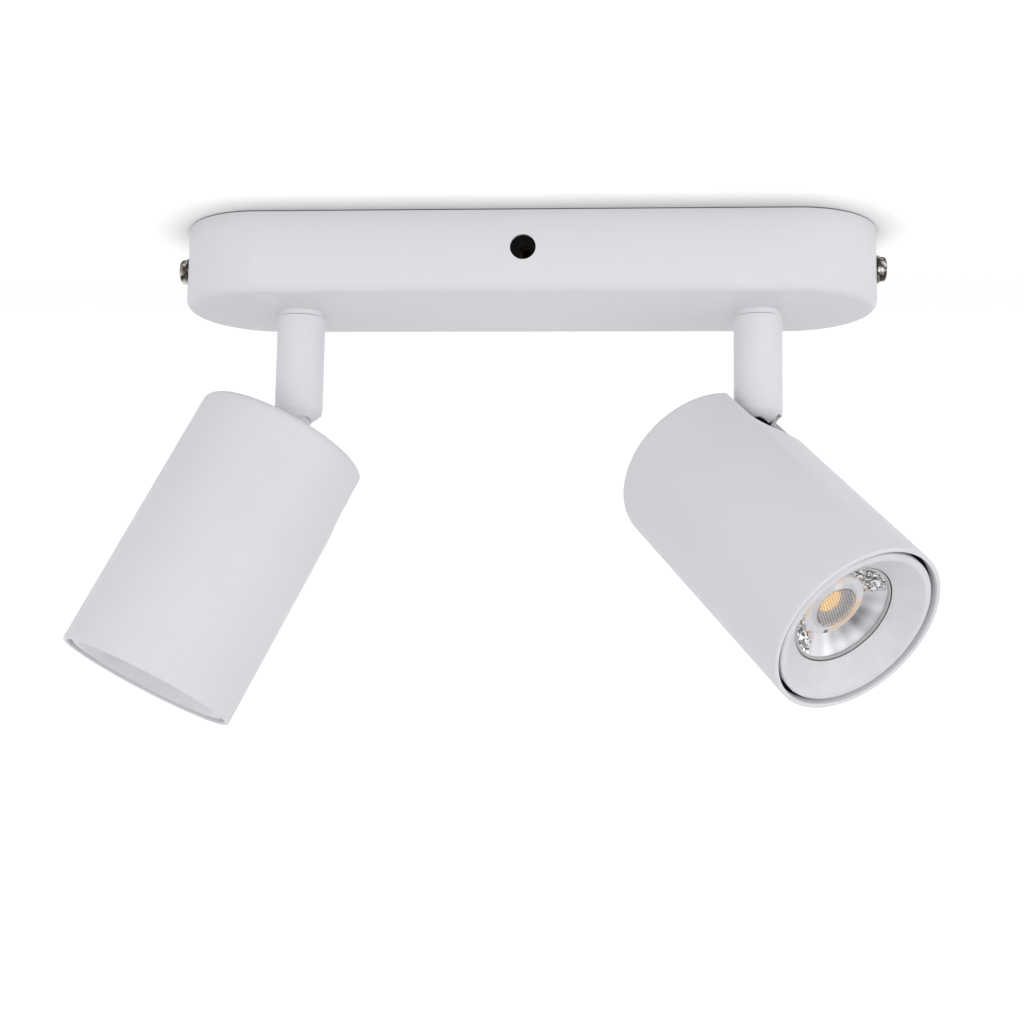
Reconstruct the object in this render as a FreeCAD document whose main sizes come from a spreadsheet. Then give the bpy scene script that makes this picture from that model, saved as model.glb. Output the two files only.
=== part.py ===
"""Ceiling or wall spot bar with two pivoting lamp heads, a parametric model in millimetres.

Frame: origin at the centre of the face that lies against the ceiling, +Z out of that face
towards the ceiling, +X along the bar.  The bar hangs below z = 0.
"""
import FreeCAD
import Part
import Sketcher
import math
import os
from FreeCAD import Placement, Rotation, Vector

doc = FreeCAD.newDocument("spot_bar")
sizes = doc.addObject("Spreadsheet::Sheet", "sizes")

# Driving dimensions: alias, value, what it is
DRIVING = (
    ("base_length", 236.0, "bar length over its round ends"),
    ("base_width", 57.0, "bar width"),
    ("base_height", 27.5, "bar height below the ceiling"),
    ("base_wall", 1.2, "sheet thickness of the bar"),
    ("base_edge", 3.0, "outer radius of the lower edge"),
    ("cable_hole", 8.5, "diameter of the side cable entry"),
    ("side_drop", 12.5, "depth of the cable entry and the end screws below the ceiling"),
    ("strip_wall", 1.5, "sheet thickness of the mounting strip"),
    ("strip_width", 24.0, "width of the mounting strip"),
    ("strip_gap", 0.4, "clearance from the strip's end flange to the bar's end wall"),
    ("flange_drop", 19.0, "depth of the end flanges below the ceiling"),
    ("flange_width", 14.0, "width of the end flanges"),
    ("ceiling_slot", 5.0, "width of the ceiling screw slots"),
    ("ceiling_slot_run", 14.0, "distance between the slot's end centres"),
    ("ceiling_pitch", 120.0, "distance between the two slots' centres"),
    ("lead_hole", 16.0, "hole in the strip for the house wiring"),
    ("lead_hole_offset", 34.0, "house wiring hole from the middle"),
    ("end_screw", 4.0, "end screw thread diameter"),
    ("end_screw_head", 8.6, "end screw head diameter"),
    ("end_screw_head_height", 2.6, "end screw head height"),
    ("end_screw_length", 8.0, "end screw length under the head"),
    ("end_washer", 9.6, "end washer diameter"),
    ("end_washer_height", 1.0, "end washer thickness"),
    ("arm_offset", 78.4, "distance of each arm from the middle"),
    ("arm_diameter", 16.4, "arm tube diameter"),
    ("arm_bore", 12.0, "arm tube bore"),
    ("arm_round", 5.5, "radius of the arm's lower edge"),
    ("collar_diameter", 15.4, "collar above the arm"),
    ("collar_height", 1.7, "collar height"),
    ("turn_gap", 0.3, "running gap between the collar and the arm"),
    ("nipple_diameter", 8.0, "hollow threaded nipple"),
    ("nipple_bore", 5.4, "bore of the nipple"),
    ("nipple_above", 9.0, "nipple length above the bar's lower sheet"),
    ("nut_flats", 13.0, "width over flats of the nipple nut"),
    ("nut_height", 3.0, "nipple nut height"),
    ("lock_washer", 13.0, "lock washer diameter"),
    ("lock_washer_height", 0.8, "lock washer thickness"),
    ("insert_height", 5.0, "bearing insert height in the arm's top"),
    ("fit_gap", 0.1, "radial gap of the turning fits"),
    ("pan_nut_height", 3.5, "round nut under the insert"),
    ("pan_washer_height", 0.8, "friction washer under the insert"),
    ("pivot_drop", 62.3, "depth of the ball's centre below the ceiling"),
    ("ball_diameter", 11.6, "ball diameter"),
    ("ball_gap", 0.15, "gap between the ball and its socket"),
    ("dome_drop", 4.4, "arm's lower end below the ball's centre"),
    ("neck_diameter", 6.6, "neck of the ball stud"),
    ("neck_flare", 0.3, "neck's flare under the ball"),
    ("neck_gap", 0.45, "side gap of the neck in the arm's slot"),
    ("dome_slot_top", 1.0, "arm's slot roof below the ball's centre"),
    ("cheek_relief", 9.4, "diameter of the relief across the arm's cheeks"),
    ("cheek_relief_drop", 6.9, "relief's axis below the ball's centre"),
    ("seat_height", 5.6, "ball seat height"),
    ("seat_lift", 1.4, "ball seat's lower edge above the ball's centre"),
    ("disc_spring_wall", 0.5, "disc spring thickness"),
    ("disc_spring_rise", 0.6, "rise of each disc spring"),
    ("snap_ring_height", 1.0, "snap ring thickness"),
    ("snap_ring_groove", 0.5, "depth of the snap ring's groove"),
    ("link_length", 30.0, "ball centre to hinge pin"),
    ("stud_bore", 3.0, "bore of the ball stud and the eye's shank for the lamp's leads"),
    ("stud_thread", 5.0, "thread at the end of the ball stud"),
    ("stud_thread_length", 5.0, "thread length"),
    ("eye_diameter", 9.6, "link eye diameter"),
    ("eye_width", 6.6, "link eye width"),
    ("eye_shank", 8.0, "diameter of the eye's shank"),
    ("eye_top", 12.0, "shank's end above the hinge pin"),
    ("hinge_pin", 4.0, "hinge pin diameter"),
    ("pin_gap", 0.05, "radial gap of the hinge pin"),
    ("pin_head", 6.4, "hinge pin head diameter"),
    ("pin_head_height", 1.0, "hinge pin head height"),
    ("hinge_washer", 8.6, "hinge washer diameter"),
    ("hinge_washer_height", 0.5, "hinge washer thickness"),
    ("hinge_play", 0.1, "play between each hinge washer and the eye"),
    ("head_diameter", 60.0, "lamp head diameter"),
    ("head_length", 95.0, "lamp head length"),
    ("head_wall", 1.5, "lamp head wall"),
    ("cap_wall", 2.0, "lamp head rear wall"),
    ("head_edge", 2.8, "outer radius of the rear edge"),
    ("hinge_depth", 20.0, "hinge pin in front of the rear face"),
    ("slot_width", 24.0, "width of the slot that takes the arm"),
    ("slot_depth", 27.5, "slot length from the rear face"),
    ("slot_start", 10.0, "wide slot's inner end, from the head's axis"),
    ("keyhole_width", 7.8, "narrow slot for the neck in the rear wall"),
    ("ear_wall", 1.5, "sheet thickness of the hinge bracket"),
    ("ear_height", 13.0, "hinge bracket's width across the head"),
    ("plate_hole", 4.4, "hole in the bracket's front plate"),
    ("foot_length", 11.0, "length of the hinge bracket's feet"),
    ("foot_screw", 3.0, "rear screw thread diameter"),
    ("foot_screw_head", 5.6, "rear screw head diameter"),
    ("foot_screw_head_height", 1.6, "rear screw head height"),
    ("foot_screw_length", 5.0, "rear screw length"),
    ("foot_screw_offset", 11.5, "rear screws from the head's axis"),
    ("holder_depth", 27.0, "hinge bracket's front plate, in front of the rear face"),
    ("holder_diameter", 30.0, "lamp holder diameter"),
    ("holder_height", 12.0, "lamp holder height"),
    ("holder_screw", 2.5, "lamp holder screw diameter"),
    ("holder_screw_head", 4.4, "lamp holder screw head diameter"),
    ("holder_screw_head_height", 1.4, "lamp holder screw head height"),
    ("holder_screw_offset", 4.4, "lamp holder screws from the axis"),
    ("pin_pitch", 10.0, "distance between the lamp's pins"),
    ("pin_slot", 5.4, "lamp holder's pin holes"),
    ("lamp_pin", 5.0, "lamp pin flange diameter"),
    ("lamp_pin_neck", 3.2, "lamp pin neck diameter"),
    ("lamp_pin_length", 7.0, "lamp pin length"),
    ("lamp_pin_flange", 2.2, "lamp pin flange length"),
    ("lamp_foot", 28.0, "lamp's rear end diameter"),
    ("lamp_foot_height", 12.0, "length of the lamp's straight rear end"),
    ("lamp_diameter", 50.0, "lamp's front diameter"),
    ("lamp_rim", 2.5, "lamp's front rim height"),
    ("lamp_wall", 1.6, "lamp body wall"),
    ("lamp_gap", 0.5, "gap between the lamp and its holder"),
    ("face_recess", 8.3, "lamp face behind the head's front rim"),
    ("lens_wall", 2.4, "front lens thickness"),
    ("lens_boss", 21.2, "diameter of the lens's boss over the chip"),
    ("lens_boss_height", 4.2, "height of the lens's boss"),
    ("board_diameter", 38.0, "LED board diameter"),
    ("board_height", 1.2, "LED board thickness"),
    ("board_depth", 8.0, "LED board behind the lamp face"),
    ("chip_diameter", 8.0, "LED chip diameter"),
    ("chip_height", 0.9, "LED chip thickness"),
    ("trim_recess", 1.0, "trim lip behind the head's front rim"),
    ("trim_gap", 1.3, "gap between the trim ring and the tube"),
    ("trim_round", 0.5, "radius of the trim lip's edges"),
    ("trim_lip", 2.2, "width of the trim's flat lip"),
    ("trim_wall", 1.1, "trim ring wall"),
    ("trim_cover", 7.3, "width of the lamp's rim that the trim covers"),
    ("trim_depth", 6.9, "depth of the trim's cone"),
    ("trim_skirt", 9.0, "height of the trim's outer skirt"),
    ("clip_wall", 0.4, "trim clip thickness"),
    ("clip_width", 6.0, "trim clip width"),
    ("clip_height", 8.0, "trim clip length"),
    ("clip_lift", 2.0, "trim clip's front end behind the lip"),
    ("block_length", 30.0, "terminal block length"),
    ("block_width", 17.0, "terminal block width"),
    ("block_height", 13.0, "terminal block height"),
    ("pole_pitch", 9.6, "distance between the poles"),
    ("pole_bore", 5.0, "pole bore"),
    ("sleeve_bore", 3.2, "wire bore of the brass sleeves"),
    ("sleeve_length", 13.0, "length of the brass sleeves"),
    ("pole_screw", 3.0, "pole screw diameter"),
    ("pole_screw_height", 3.6, "pole screw length"),
    ("pole_screw_offset", 3.6, "pole screws from the block's middle"),
    ("earth_offset", 34.0, "earth screw from the middle"),
    ("earth_screw", 4.0, "earth screw diameter"),
    ("earth_head", 7.6, "earth screw head diameter"),
    ("lead_diameter", 2.2, "insulated lead diameter"),
    ("lead_spread", 1.25, "leads from the arm's axis"),
    ("lead_run", 22.0, "leads behind the bar's middle line where they run along it"),
    ("lead_slant", 24.0, "length along the bar in which the leads come back to the middle line"),
    ("lead_rise", 7.5, "leads above the nipple's top"),
    ("lead_bend", 6.0, "bend radius of the leads"),
    ("pan_angle_left", 27.5, "left arm turned about its axis, degrees"),
    ("tilt_angle_left", 27.1, "left link tilted from straight down, degrees"),
    ("twist_angle_left", 0.0, "left ball turned about its neck, degrees"),
    ("nod_angle_left", 0.0, "left head turned on its hinge pin, degrees"),
    ("pan_angle_right", -8.5, "right arm turned about its axis, degrees"),
    ("tilt_angle_right", 20.1, "right link tilted from straight down, degrees"),
    ("twist_angle_right", -35.2, "right ball turned about its neck, degrees"),
    ("nod_angle_right", -67.0, "right head turned on its hinge pin, degrees"),
)
for row, (alias, value, meaning) in enumerate(DRIVING, start=1):
    sizes.set("A%d" % row, alias)
    sizes.set("B%d" % row, str(value))
    sizes.set("C%d" % row, meaning)
    sizes.setAlias("B%d" % row, alias)
doc.recompute()


def size(alias):
    """Value of a driving dimension."""
    return float(getattr(sizes, alias))


def bound(expression):
    """The same expression with every alias pointed at the sheet."""
    text = ""
    word = ""
    for letter in expression + " ":
        if letter.isalnum() or letter == "_":
            word += letter
            continue
        text += "sizes." + word if hasattr(sizes, word) and word[:1].isalpha() else word
        text += letter
        word = ""
    return text.strip()


def amount(expression):
    """Number that an expression of driving dimensions stands for."""
    probe = doc.addObject("App::FeaturePython", "probe")
    probe.addProperty("App::PropertyFloat", "value")
    probe.setExpression("value", bound(expression))
    probe.recompute()
    result = probe.value
    doc.removeObject(probe.Name)
    return result


nodes = []
AXIS_TURN = {
    "z": Rotation(),
    "x": Rotation(Vector(0, 1, 0), 90),
    "y": Rotation(Vector(1, 0, 0), -90),
}


def bind(item, **expressions):
    """Bind each named size of an object to driving dimensions."""
    for name, expression in expressions.items():
        item.setExpression(name.replace("__", "."), bound(expression))
    return item


def place(item, x="0", y="0", z="0", axis="z"):
    """Bind an object's place, and turn its own Z to the given axis."""
    item.Placement = Placement(Vector(), AXIS_TURN[axis])
    bind(item, Placement__Base__x=x, Placement__Base__y=y, Placement__Base__z=z)
    return item


def cylinder(name, diameter, height, x="0", y="0", z="0", axis="z"):
    """Cylinder that starts at its place and runs along +axis."""
    item = doc.addObject("Part::Cylinder", name)
    bind(item, Radius="(%s) / 2" % diameter, Height=height)
    return place(item, x, y, z, axis)


def cone(name, diameter_low, diameter_high, height, x="0", y="0", z="0", axis="z"):
    """Cone frustum that starts at its place and runs along +axis."""
    item = doc.addObject("Part::Cone", name)
    bind(item, Radius1="(%s) / 2" % diameter_low, Radius2="(%s) / 2" % diameter_high, Height=height)
    return place(item, x, y, z, axis)


def sphere(name, diameter, x="0", y="0", z="0"):
    """Ball centred on its place."""
    item = doc.addObject("Part::Sphere", name)
    bind(item, Radius="(%s) / 2" % diameter)
    return place(item, x, y, z)


def box(name, length, width, height, x="0", y="0", z="0"):
    """Box centred on x and y that starts at z."""
    item = doc.addObject("Part::Box", name)
    bind(item, Length=length, Width=width, Height=height)
    return place(item, "%s - (%s) / 2" % (x, length), "%s - (%s) / 2" % (y, width), z)


def hexagon(name, flats, height, x="0", y="0", z="0"):
    """Hexagonal prism given by its width over flats."""
    item = doc.addObject("Part::Prism", name)
    item.Polygon = 6
    bind(item, Circumradius="(%s) / sqrt(3)" % flats, Height=height)
    return place(item, x, y, z)


def fuse(name, *shapes):
    """One solid from several that touch."""
    item = doc.addObject("Part::MultiFuse", name)
    item.Shapes = list(shapes)
    item.Refine = True
    return item


def cut(name, base, *tools):
    """Base with the tools taken away."""
    item = doc.addObject("Part::Cut", name)
    item.Base = base
    item.Tool = tools[0] if len(tools) == 1 else fuse(name + "_tools", *tools)
    return item


def group(name, *shapes):
    """Several separate solids that share one node."""
    item = doc.addObject("Part::Compound", name)
    item.Links = list(shapes)
    return item


def near_edges(shape, test):
    """Names of the edges whose middle passes the test."""
    names = []
    for number, edge in enumerate(shape.Edges, start=1):
        if test(edge):
            names.append("Edge%d" % number)
    return names


def round_edges(body, base, radius, test):
    """Fillet of the chosen edges, bound to a driving dimension."""
    doc.recompute()
    rounding = body.newObject("PartDesign::Fillet", body.Name + "_round")
    rounding.Base = (base, near_edges(base.Shape, test))
    bind(rounding, Radius=radius)
    body.Tip = rounding
    return rounding


def sketch_on(body, role):
    """Empty sketch on one of the body's own planes."""
    sketch = body.newObject("Sketcher::SketchObject", body.Name + "_sketch")
    plane = [item for item in body.Origin.OriginFeatures if item.Role == role][0]
    sketch.AttachmentSupport = [(plane, "")]
    sketch.MapMode = "FlatFace"
    return sketch


def turned(name, *corners):
    """Turned piece: corners are (radius, height) pairs round one half of its section."""
    body = doc.addObject("PartDesign::Body", name)
    sketch = sketch_on(body, "XZ_Plane")
    points = [Vector(amount(radius), amount(height), 0) for radius, height in corners]
    for start, end in zip(points, points[1:] + points[:1]):
        sketch.addGeometry(Part.LineSegment(start, end), False)
    last = len(points) - 1
    for index in range(len(points)):
        sketch.addConstraint(Sketcher.Constraint("Coincident", index, 1, (index - 1) % (last + 1), 2))
    for index, (radius, height) in enumerate(corners):
        for label, kind, expression, line in (("radius", "DistanceX", radius, -2), ("height", "DistanceY", height, -1)):
            if expression == "0":
                sketch.addConstraint(Sketcher.Constraint("PointOnObject", index, 1, line))
                continue
            value = points[index].x if kind == "DistanceX" else points[index].y
            number = sketch.addConstraint(Sketcher.Constraint(kind, -1, 1, index, 1, value))
            sketch.renameConstraint(number, "%s%d" % (label, index))
            sketch.setExpression("Constraints.%s%d" % (label, index), bound(expression))
    turn = body.newObject("PartDesign::Revolution", name + "_turn")
    turn.Profile = sketch
    turn.ReferenceAxis = (sketch, ["V_Axis"])
    turn.Angle = 360
    body.Tip = turn
    return body


def ring(name, outer, inner, height, z="0"):
    """Flat ring or tube."""
    top = "(%s) + (%s)" % (z, height)
    return turned(name, ("(%s) / 2" % inner, z), ("(%s) / 2" % outer, z),
                  ("(%s) / 2" % outer, top), ("(%s) / 2" % inner, top))


def node(item, label, frame=None):
    """Finish one sub-part: its name, and its frame on the product."""
    item.Label = label
    if frame is not None:
        item.Placement = frame
    nodes.append(item)
    return item


# Frames of the moving groups, from the pose angles
def turn_about(axis, degrees):
    return Placement(Vector(), Rotation(axis, degrees))


SIDES = (("left", -1), ("right", 1))
X_AXIS, Y_AXIS, Z_AXIS = Vector(1, 0, 0), Vector(0, 1, 0), Vector(0, 0, 1)
arm_frame = {}
link_frame = {}
head_frame = {}
for side, sign in SIDES:
    pivot = Placement(Vector(sign * size("arm_offset"), 0, -size("pivot_drop")), Rotation())
    arm_frame[side] = pivot * turn_about(Z_AXIS, size("pan_angle_" + side))
    tilted = arm_frame[side] * turn_about(Y_AXIS, size("tilt_angle_" + side))
    link_frame[side] = tilted * turn_about(Z_AXIS, size("twist_angle_" + side))
    down_the_link = Placement(Vector(0, 0, -size("link_length")), Rotation())
    head_frame[side] = link_frame[side] * down_the_link * turn_about(Y_AXIS, size("nod_angle_" + side))


# Bar cover: a drawn steel tray with round ends, open towards the ceiling
def stadium(name, length, width, height, z):
    """Prism with half-round ends."""
    middle = box(name + "_middle", "(%s) - (%s)" % (length, width), width, height, z=z)
    reach = "((%s) - (%s)) / 2" % (length, width)
    ends = [cylinder(name + "_end", width, height, x="%s * %s" % (sign, reach), z=z) for sign in ("1", "-1")]
    return fuse(name, middle, *ends)


def rounded(name, base, radius, z):
    """Fillet of the edges that lie in the plane at z."""
    doc.recompute()
    item = doc.addObject("Part::Fillet", name)
    item.Base = base
    level = amount(z)
    edges = []
    for number, edge in enumerate(base.Shape.Edges, start=1):
        box_of = edge.BoundBox
        if abs(box_of.ZMin - level) < 0.01 and abs(box_of.ZMax - level) < 0.01:
            edges.append((number, radius, radius))
    item.Edges = edges
    return item


outer = rounded("cover_outer", stadium("cover_block", "base_length", "base_width", "base_height",
                "-base_height"), size("base_edge"), "-base_height")
inner = rounded("cover_inner", stadium("cover_room", "base_length - 2 * base_wall", "base_width - 2 * base_wall",
                "base_height", "base_wall - base_height"), max(size("base_edge") - size("base_wall"), 0.3),
                "base_wall - base_height")
cover_holes = [
    cylinder("cable_entry", "cable_hole", "3 * base_wall", y="-base_width / 2 - base_wall", z="-side_drop", axis="y"),
]
for sign in ("1", "-1"):
    cover_holes.append(cylinder("nipple_hole", "nipple_diameter + 2 * fit_gap", "3 * base_wall",
                                x=sign + " * arm_offset", z="-base_height - base_wall"))
    cover_holes.append(cylinder("end_hole", "end_screw + 2 * fit_gap", "4 * base_wall",
                                x=sign + " * (base_length / 2 - base_wall) - 2 * base_wall", z="-side_drop", axis="x"))
node(cut("cover", outer, inner, *cover_holes), "base_cover")

# Mounting strip: bent steel strip screwed to the ceiling, with a threaded flange at each end
# The flange is flat, so its corners set how far it reaches into the round end
end_radius = "(base_width / 2 - base_wall - strip_gap)"
flange_x = "(base_length - base_width) / 2 + sqrt(%s^2 - (flange_width / 2)^2)" % end_radius
strip_parts = [box("strip_plate", "2 * (%s)" % flange_x, "strip_width", "strip_wall", z="-strip_wall")]
strip_cuts = [cylinder("lead_opening", "lead_hole", "3 * strip_wall", x="-lead_hole_offset", z="-2 * strip_wall")]
for sign in ("1", "-1"):
    strip_parts.append(box("strip_flange", "strip_wall", "flange_width", "flange_drop",
                           x="%s * ((%s) - strip_wall / 2)" % (sign, flange_x), z="-flange_drop"))
    strip_cuts.append(cylinder("flange_thread", "end_screw", "4 * strip_wall",
                               x="%s * (%s) - 2 * strip_wall" % (sign, flange_x), z="-side_drop", axis="x"))
    # the strip's corners are clipped to follow the bar's round ends
    strip_cuts.append(cut("strip_corner",
                          box("corner_block", "base_width", "base_width", "3 * strip_wall",
                              x="%s * base_length / 2" % sign, z="-2 * strip_wall"),
                          cylinder("corner_round", "base_width - 2 * base_wall - 2 * strip_gap", "5 * strip_wall",
                                   x="%s * (base_length - base_width) / 2" % sign, z="-3 * strip_wall")))
    for end in ("1", "-1"):
        strip_cuts.append(cylinder("slot_end", "ceiling_slot", "3 * strip_wall",
                                   x="%s * ceiling_pitch / 2 + %s * ceiling_slot_run / 2" % (sign, end),
                                   z="-2 * strip_wall"))
    strip_cuts.append(box("slot_run", "ceiling_slot_run", "ceiling_slot", "3 * strip_wall",
                          x="%s * ceiling_pitch / 2" % sign, z="-2 * strip_wall"))
strip_cuts.append(cylinder("block_thread", "pole_screw", "3 * strip_wall", x="pole_pitch / 2", z="-2 * strip_wall"))
strip_cuts.append(cylinder("earth_thread", "earth_screw", "3 * strip_wall", x="earth_offset", z="-2 * strip_wall"))
node(cut("strip", fuse("strip_blank", *strip_parts), *strip_cuts), "mounting_strip")


def screw(name, head, head_height, thread, length, frame=None):
    """Pan head screw along -Z with its head's seat at z = 0, and a cross recess."""
    head_top = cone(name + "_crown", head, "(%s) * 0.72" % head, "(%s) * 0.45" % head_height,
                    z="(%s) * 0.55" % head_height)
    head_low = cylinder(name + "_head", head, "(%s) * 0.55" % head_height)
    shank = cylinder(name + "_shank", thread, length, z="-(%s)" % length)
    blades = []
    for long_way, across in (("0.56", "0.12"), ("0.12", "0.56")):
        blades.append(box(name + "_recess", "(%s) * %s" % (head, long_way), "(%s) * %s" % (head, across),
                          head_height, z="(%s) * 0.45" % head_height))
    item = cut(name, fuse(name + "_blank", head_top, head_low, shank), *blades)
    if frame is not None:
        item.Placement = frame
    return item


def at(x=0.0, y=0.0, z=0.0, turn=Rotation()):
    """Frame at a point."""
    return Placement(Vector(x, y, z), turn)


# End screws and washers: they hold the cover to the strip's flanges
end_face = size("base_length") / 2
screws = []
washers = []
for sign in (1, -1):
    out = Rotation(Z_AXIS, Vector(sign, 0, 0))
    washer = ring("end_washer_ring", "end_washer", "end_screw + 2 * fit_gap", "end_washer_height")
    washer.Placement = at(x=sign * end_face, z=-size("side_drop"), turn=out)
    washers.append(washer)
    screws.append(screw("end_screw_piece", "end_screw_head", "end_screw_head_height", "end_screw",
                        "end_screw_length", at(x=sign * (end_face + size("end_washer_height")),
                                               z=-size("side_drop"), turn=out)))
node(group("cover_screw_pair", *screws), "cover_screws")
node(group("cover_washer_pair", *washers), "cover_washers")

# Terminal block: white body, three brass sleeves, and two clamping screws in each
block_z = "-strip_wall - block_height"
POLES = ("-1", "0", "1")
block_cuts = []
sleeves = []
pole_screws = []
for pole in POLES:
    pole_x = pole + " * pole_pitch"
    bore_z = "-strip_wall - block_height * 0.55"
    block_cuts.append(cylinder("pole_room", "pole_bore", "block_width + 2", x=pole_x, y="-block_width / 2 - 1",
                               z=bore_z, axis="y"))
    tube = cylinder("sleeve_tube", "pole_bore", "sleeve_length", x=pole_x, y="-sleeve_length / 2", z=bore_z, axis="y")
    sleeve_cuts = [cylinder("sleeve_room", "sleeve_bore", "sleeve_length + 2", x=pole_x,
                            y="-sleeve_length / 2 - 1", z=bore_z, axis="y")]
    for end in ("1", "-1"):
        screw_y = end + " * pole_screw_offset"
        block_cuts.append(cylinder("screw_shaft", "pole_screw + 0.4", "block_height * 0.55", x=pole_x, y=screw_y,
                                   z=block_z + " - 0.1"))
        sleeve_cuts.append(cylinder("sleeve_thread", "pole_screw", "pole_bore / 2", x=pole_x, y=screw_y,
                                    z=bore_z + " - pole_bore / 2"))
        slotted = cut("pole_screw_piece",
                      cylinder("pole_screw_rod", "pole_screw", "pole_screw_height", x=pole_x, y=screw_y,
                               z=bore_z + " - sleeve_bore / 2 - pole_screw_height + 0.2"),
                      box("pole_screw_slot", "pole_screw", "0.5", "0.7", x=pole_x, y=screw_y,
                          z=bore_z + " - sleeve_bore / 2 - pole_screw_height + 0.1"))
        pole_screws.append(slotted)
    sleeves.append(cut("sleeve", tube, *sleeve_cuts))
FIXING_X = "pole_pitch / 2"
block_cuts.append(cylinder("fixing_hole", "pole_screw + 0.2", "block_height + 2", x=FIXING_X, z=block_z + " - 1"))
node(cut("block", box("block_body", "block_length", "block_width", "block_height", z=block_z), *block_cuts),
     "terminal_block")
node(group("sleeve_set", *sleeves), "terminal_sleeves")
node(group("pole_screw_set", *pole_screws), "terminal_screws")
upside_down = Rotation(X_AXIS, 180)
node(screw("fixing_screw", "pole_screw * 1.7", "pole_screw * 0.6", "pole_screw", "block_height + strip_wall"),
     "block_screw", at(x=amount(FIXING_X), z=amount(block_z), turn=upside_down))
node(screw("earth_screw_piece", "earth_head", "earth_screw * 0.6", "earth_screw", "strip_wall"),
     "earth_screw", at(x=size("earth_offset"), z=-size("strip_wall"), turn=upside_down))

# Hollow nipples: they clamp the collar to the cover and carry the arm on a round nut
arm_top = "-base_height - collar_height - turn_gap"
pan_nut_low = "(%s - insert_height - pan_washer_height - pan_nut_height)" % arm_top
PAIR_PIECES = (
    ("nipples", lambda: ring("nipple", "nipple_diameter", "nipple_bore",
                             "nipple_above - base_height + base_wall - %s" % pan_nut_low, pan_nut_low)),
    ("nipple_nuts", lambda: cut("nipple_nut",
                                hexagon("nut_blank", "nut_flats", "nut_height",
                                        z="base_wall - base_height + lock_washer_height"),
                                cylinder("nut_thread", "nipple_diameter", "3 * nut_height",
                                         z="base_wall - base_height - nut_height"))),
    ("nipple_lock_washers", lambda: ring("lock_washer_ring", "lock_washer", "nipple_diameter + 2 * fit_gap",
                                         "lock_washer_height", "base_wall - base_height")),
    ("arm_collars", lambda: ring("collar", "collar_diameter", "nipple_diameter", "collar_height",
                                 "-base_height - collar_height")),
    ("arm_nuts", lambda: ring("pan_nut", "arm_bore - 4 * fit_gap", "nipple_diameter", "pan_nut_height",
                              pan_nut_low)),
)
for label, make in PAIR_PIECES:
    pair = []
    for sign in (-1, 1):
        piece = make()
        piece.Placement = at(x=sign * size("arm_offset"))
        pair.append(piece)
    node(group(label + "_pair", *pair), label)


# Leads: two insulated wires from the block to each nipple, held inside the bar
def wire_path(points, bend):
    """Straight runs joined by tangent arcs of one radius."""
    edges = []
    start = points[0]
    for before, corner, after in zip(points, points[1:], points[2:]):
        way_in = (corner - before).normalize()
        way_out = (after - corner).normalize()
        turn = way_in.getAngle(way_out)
        reach = bend * math.tan(turn / 2)
        first = corner - way_in * reach
        last = corner + way_out * reach
        bisector = (way_out - way_in).normalize()
        middle = corner + bisector * (bend / math.cos(turn / 2) - bend)
        edges.append(Part.LineSegment(start, first).toShape())
        edges.append(Part.Arc(first, middle, last).toShape())
        start = last
    edges.append(Part.LineSegment(start, points[-1]).toShape())
    return Part.Wire(edges)


def tube_along(points, bend, diameter):
    """Round tube along a bent path."""
    path = wire_path(points, bend)
    way = (points[1] - points[0]).normalize()
    section = Part.Wire([Part.Circle(points[0], way, diameter / 2).toShape()])
    return path.makePipeShell([section], True, False), path.Length * math.pi * diameter ** 2 / 4


leads = []
bore_level = amount("-strip_wall - block_height * 0.55")
nipple_top = amount("nipple_above - base_height + base_wall")
lead_end = amount(pan_nut_low)
for sign in (-1, 1):
    for shared, offset in ((True, -1), (False, 1)):
        pole_x = sign * ((size("lead_diameter") / 2 + size("fit_gap")) if shared else size("pole_pitch"))
        run_y = size("lead_run") + offset * size("lead_diameter")
        down = sign * size("arm_offset") + offset * size("lead_spread")
        points = [Vector(pole_x, size("sleeve_length") / 2, bore_level),
                  Vector(pole_x, run_y, bore_level),
                  Vector(down - sign * size("lead_slant"), run_y, bore_level),
                  Vector(down, 0, nipple_top + size("lead_rise")),
                  Vector(down, 0, lead_end)]
        solid, expected = tube_along(points, size("lead_bend"), size("lead_diameter"))
        print("lead volume", round(solid.Volume, 2), "expected", round(expected, 2), "radius", size("lead_bend"))
        leads.append(solid)
lead_piece = doc.addObject("Part::Feature", "lead_set")
lead_piece.Shape = Part.makeCompound(leads)
node(lead_piece, "supply_leads")

def disc(name, diameter, height, z):
    """Turned plain disc."""
    return turned(name, ("0", z), ("(%s) / 2" % diameter, z), ("(%s) / 2" % diameter, "%s + %s" % (z, height)),
                  ("0", "%s + %s" % (z, height)))


# Arms, one per side, in a frame at the ball's centre
ARM_TOP = "(pivot_drop - base_height - collar_height - turn_gap)"
INSERT_LOW = "(%s - insert_height)" % ARM_TOP
SEAT_TOP = "(seat_lift + seat_height)"
DISCS = 3
disc_pitch = "(disc_spring_wall + disc_spring_rise)"
ring_low = "(%s + %d * %s + 0.1)" % (SEAT_TOP, DISCS, disc_pitch)
socket = "(ball_diameter + 2 * ball_gap)"
slot_half = "(neck_diameter / 2 + neck_gap)"


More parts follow.
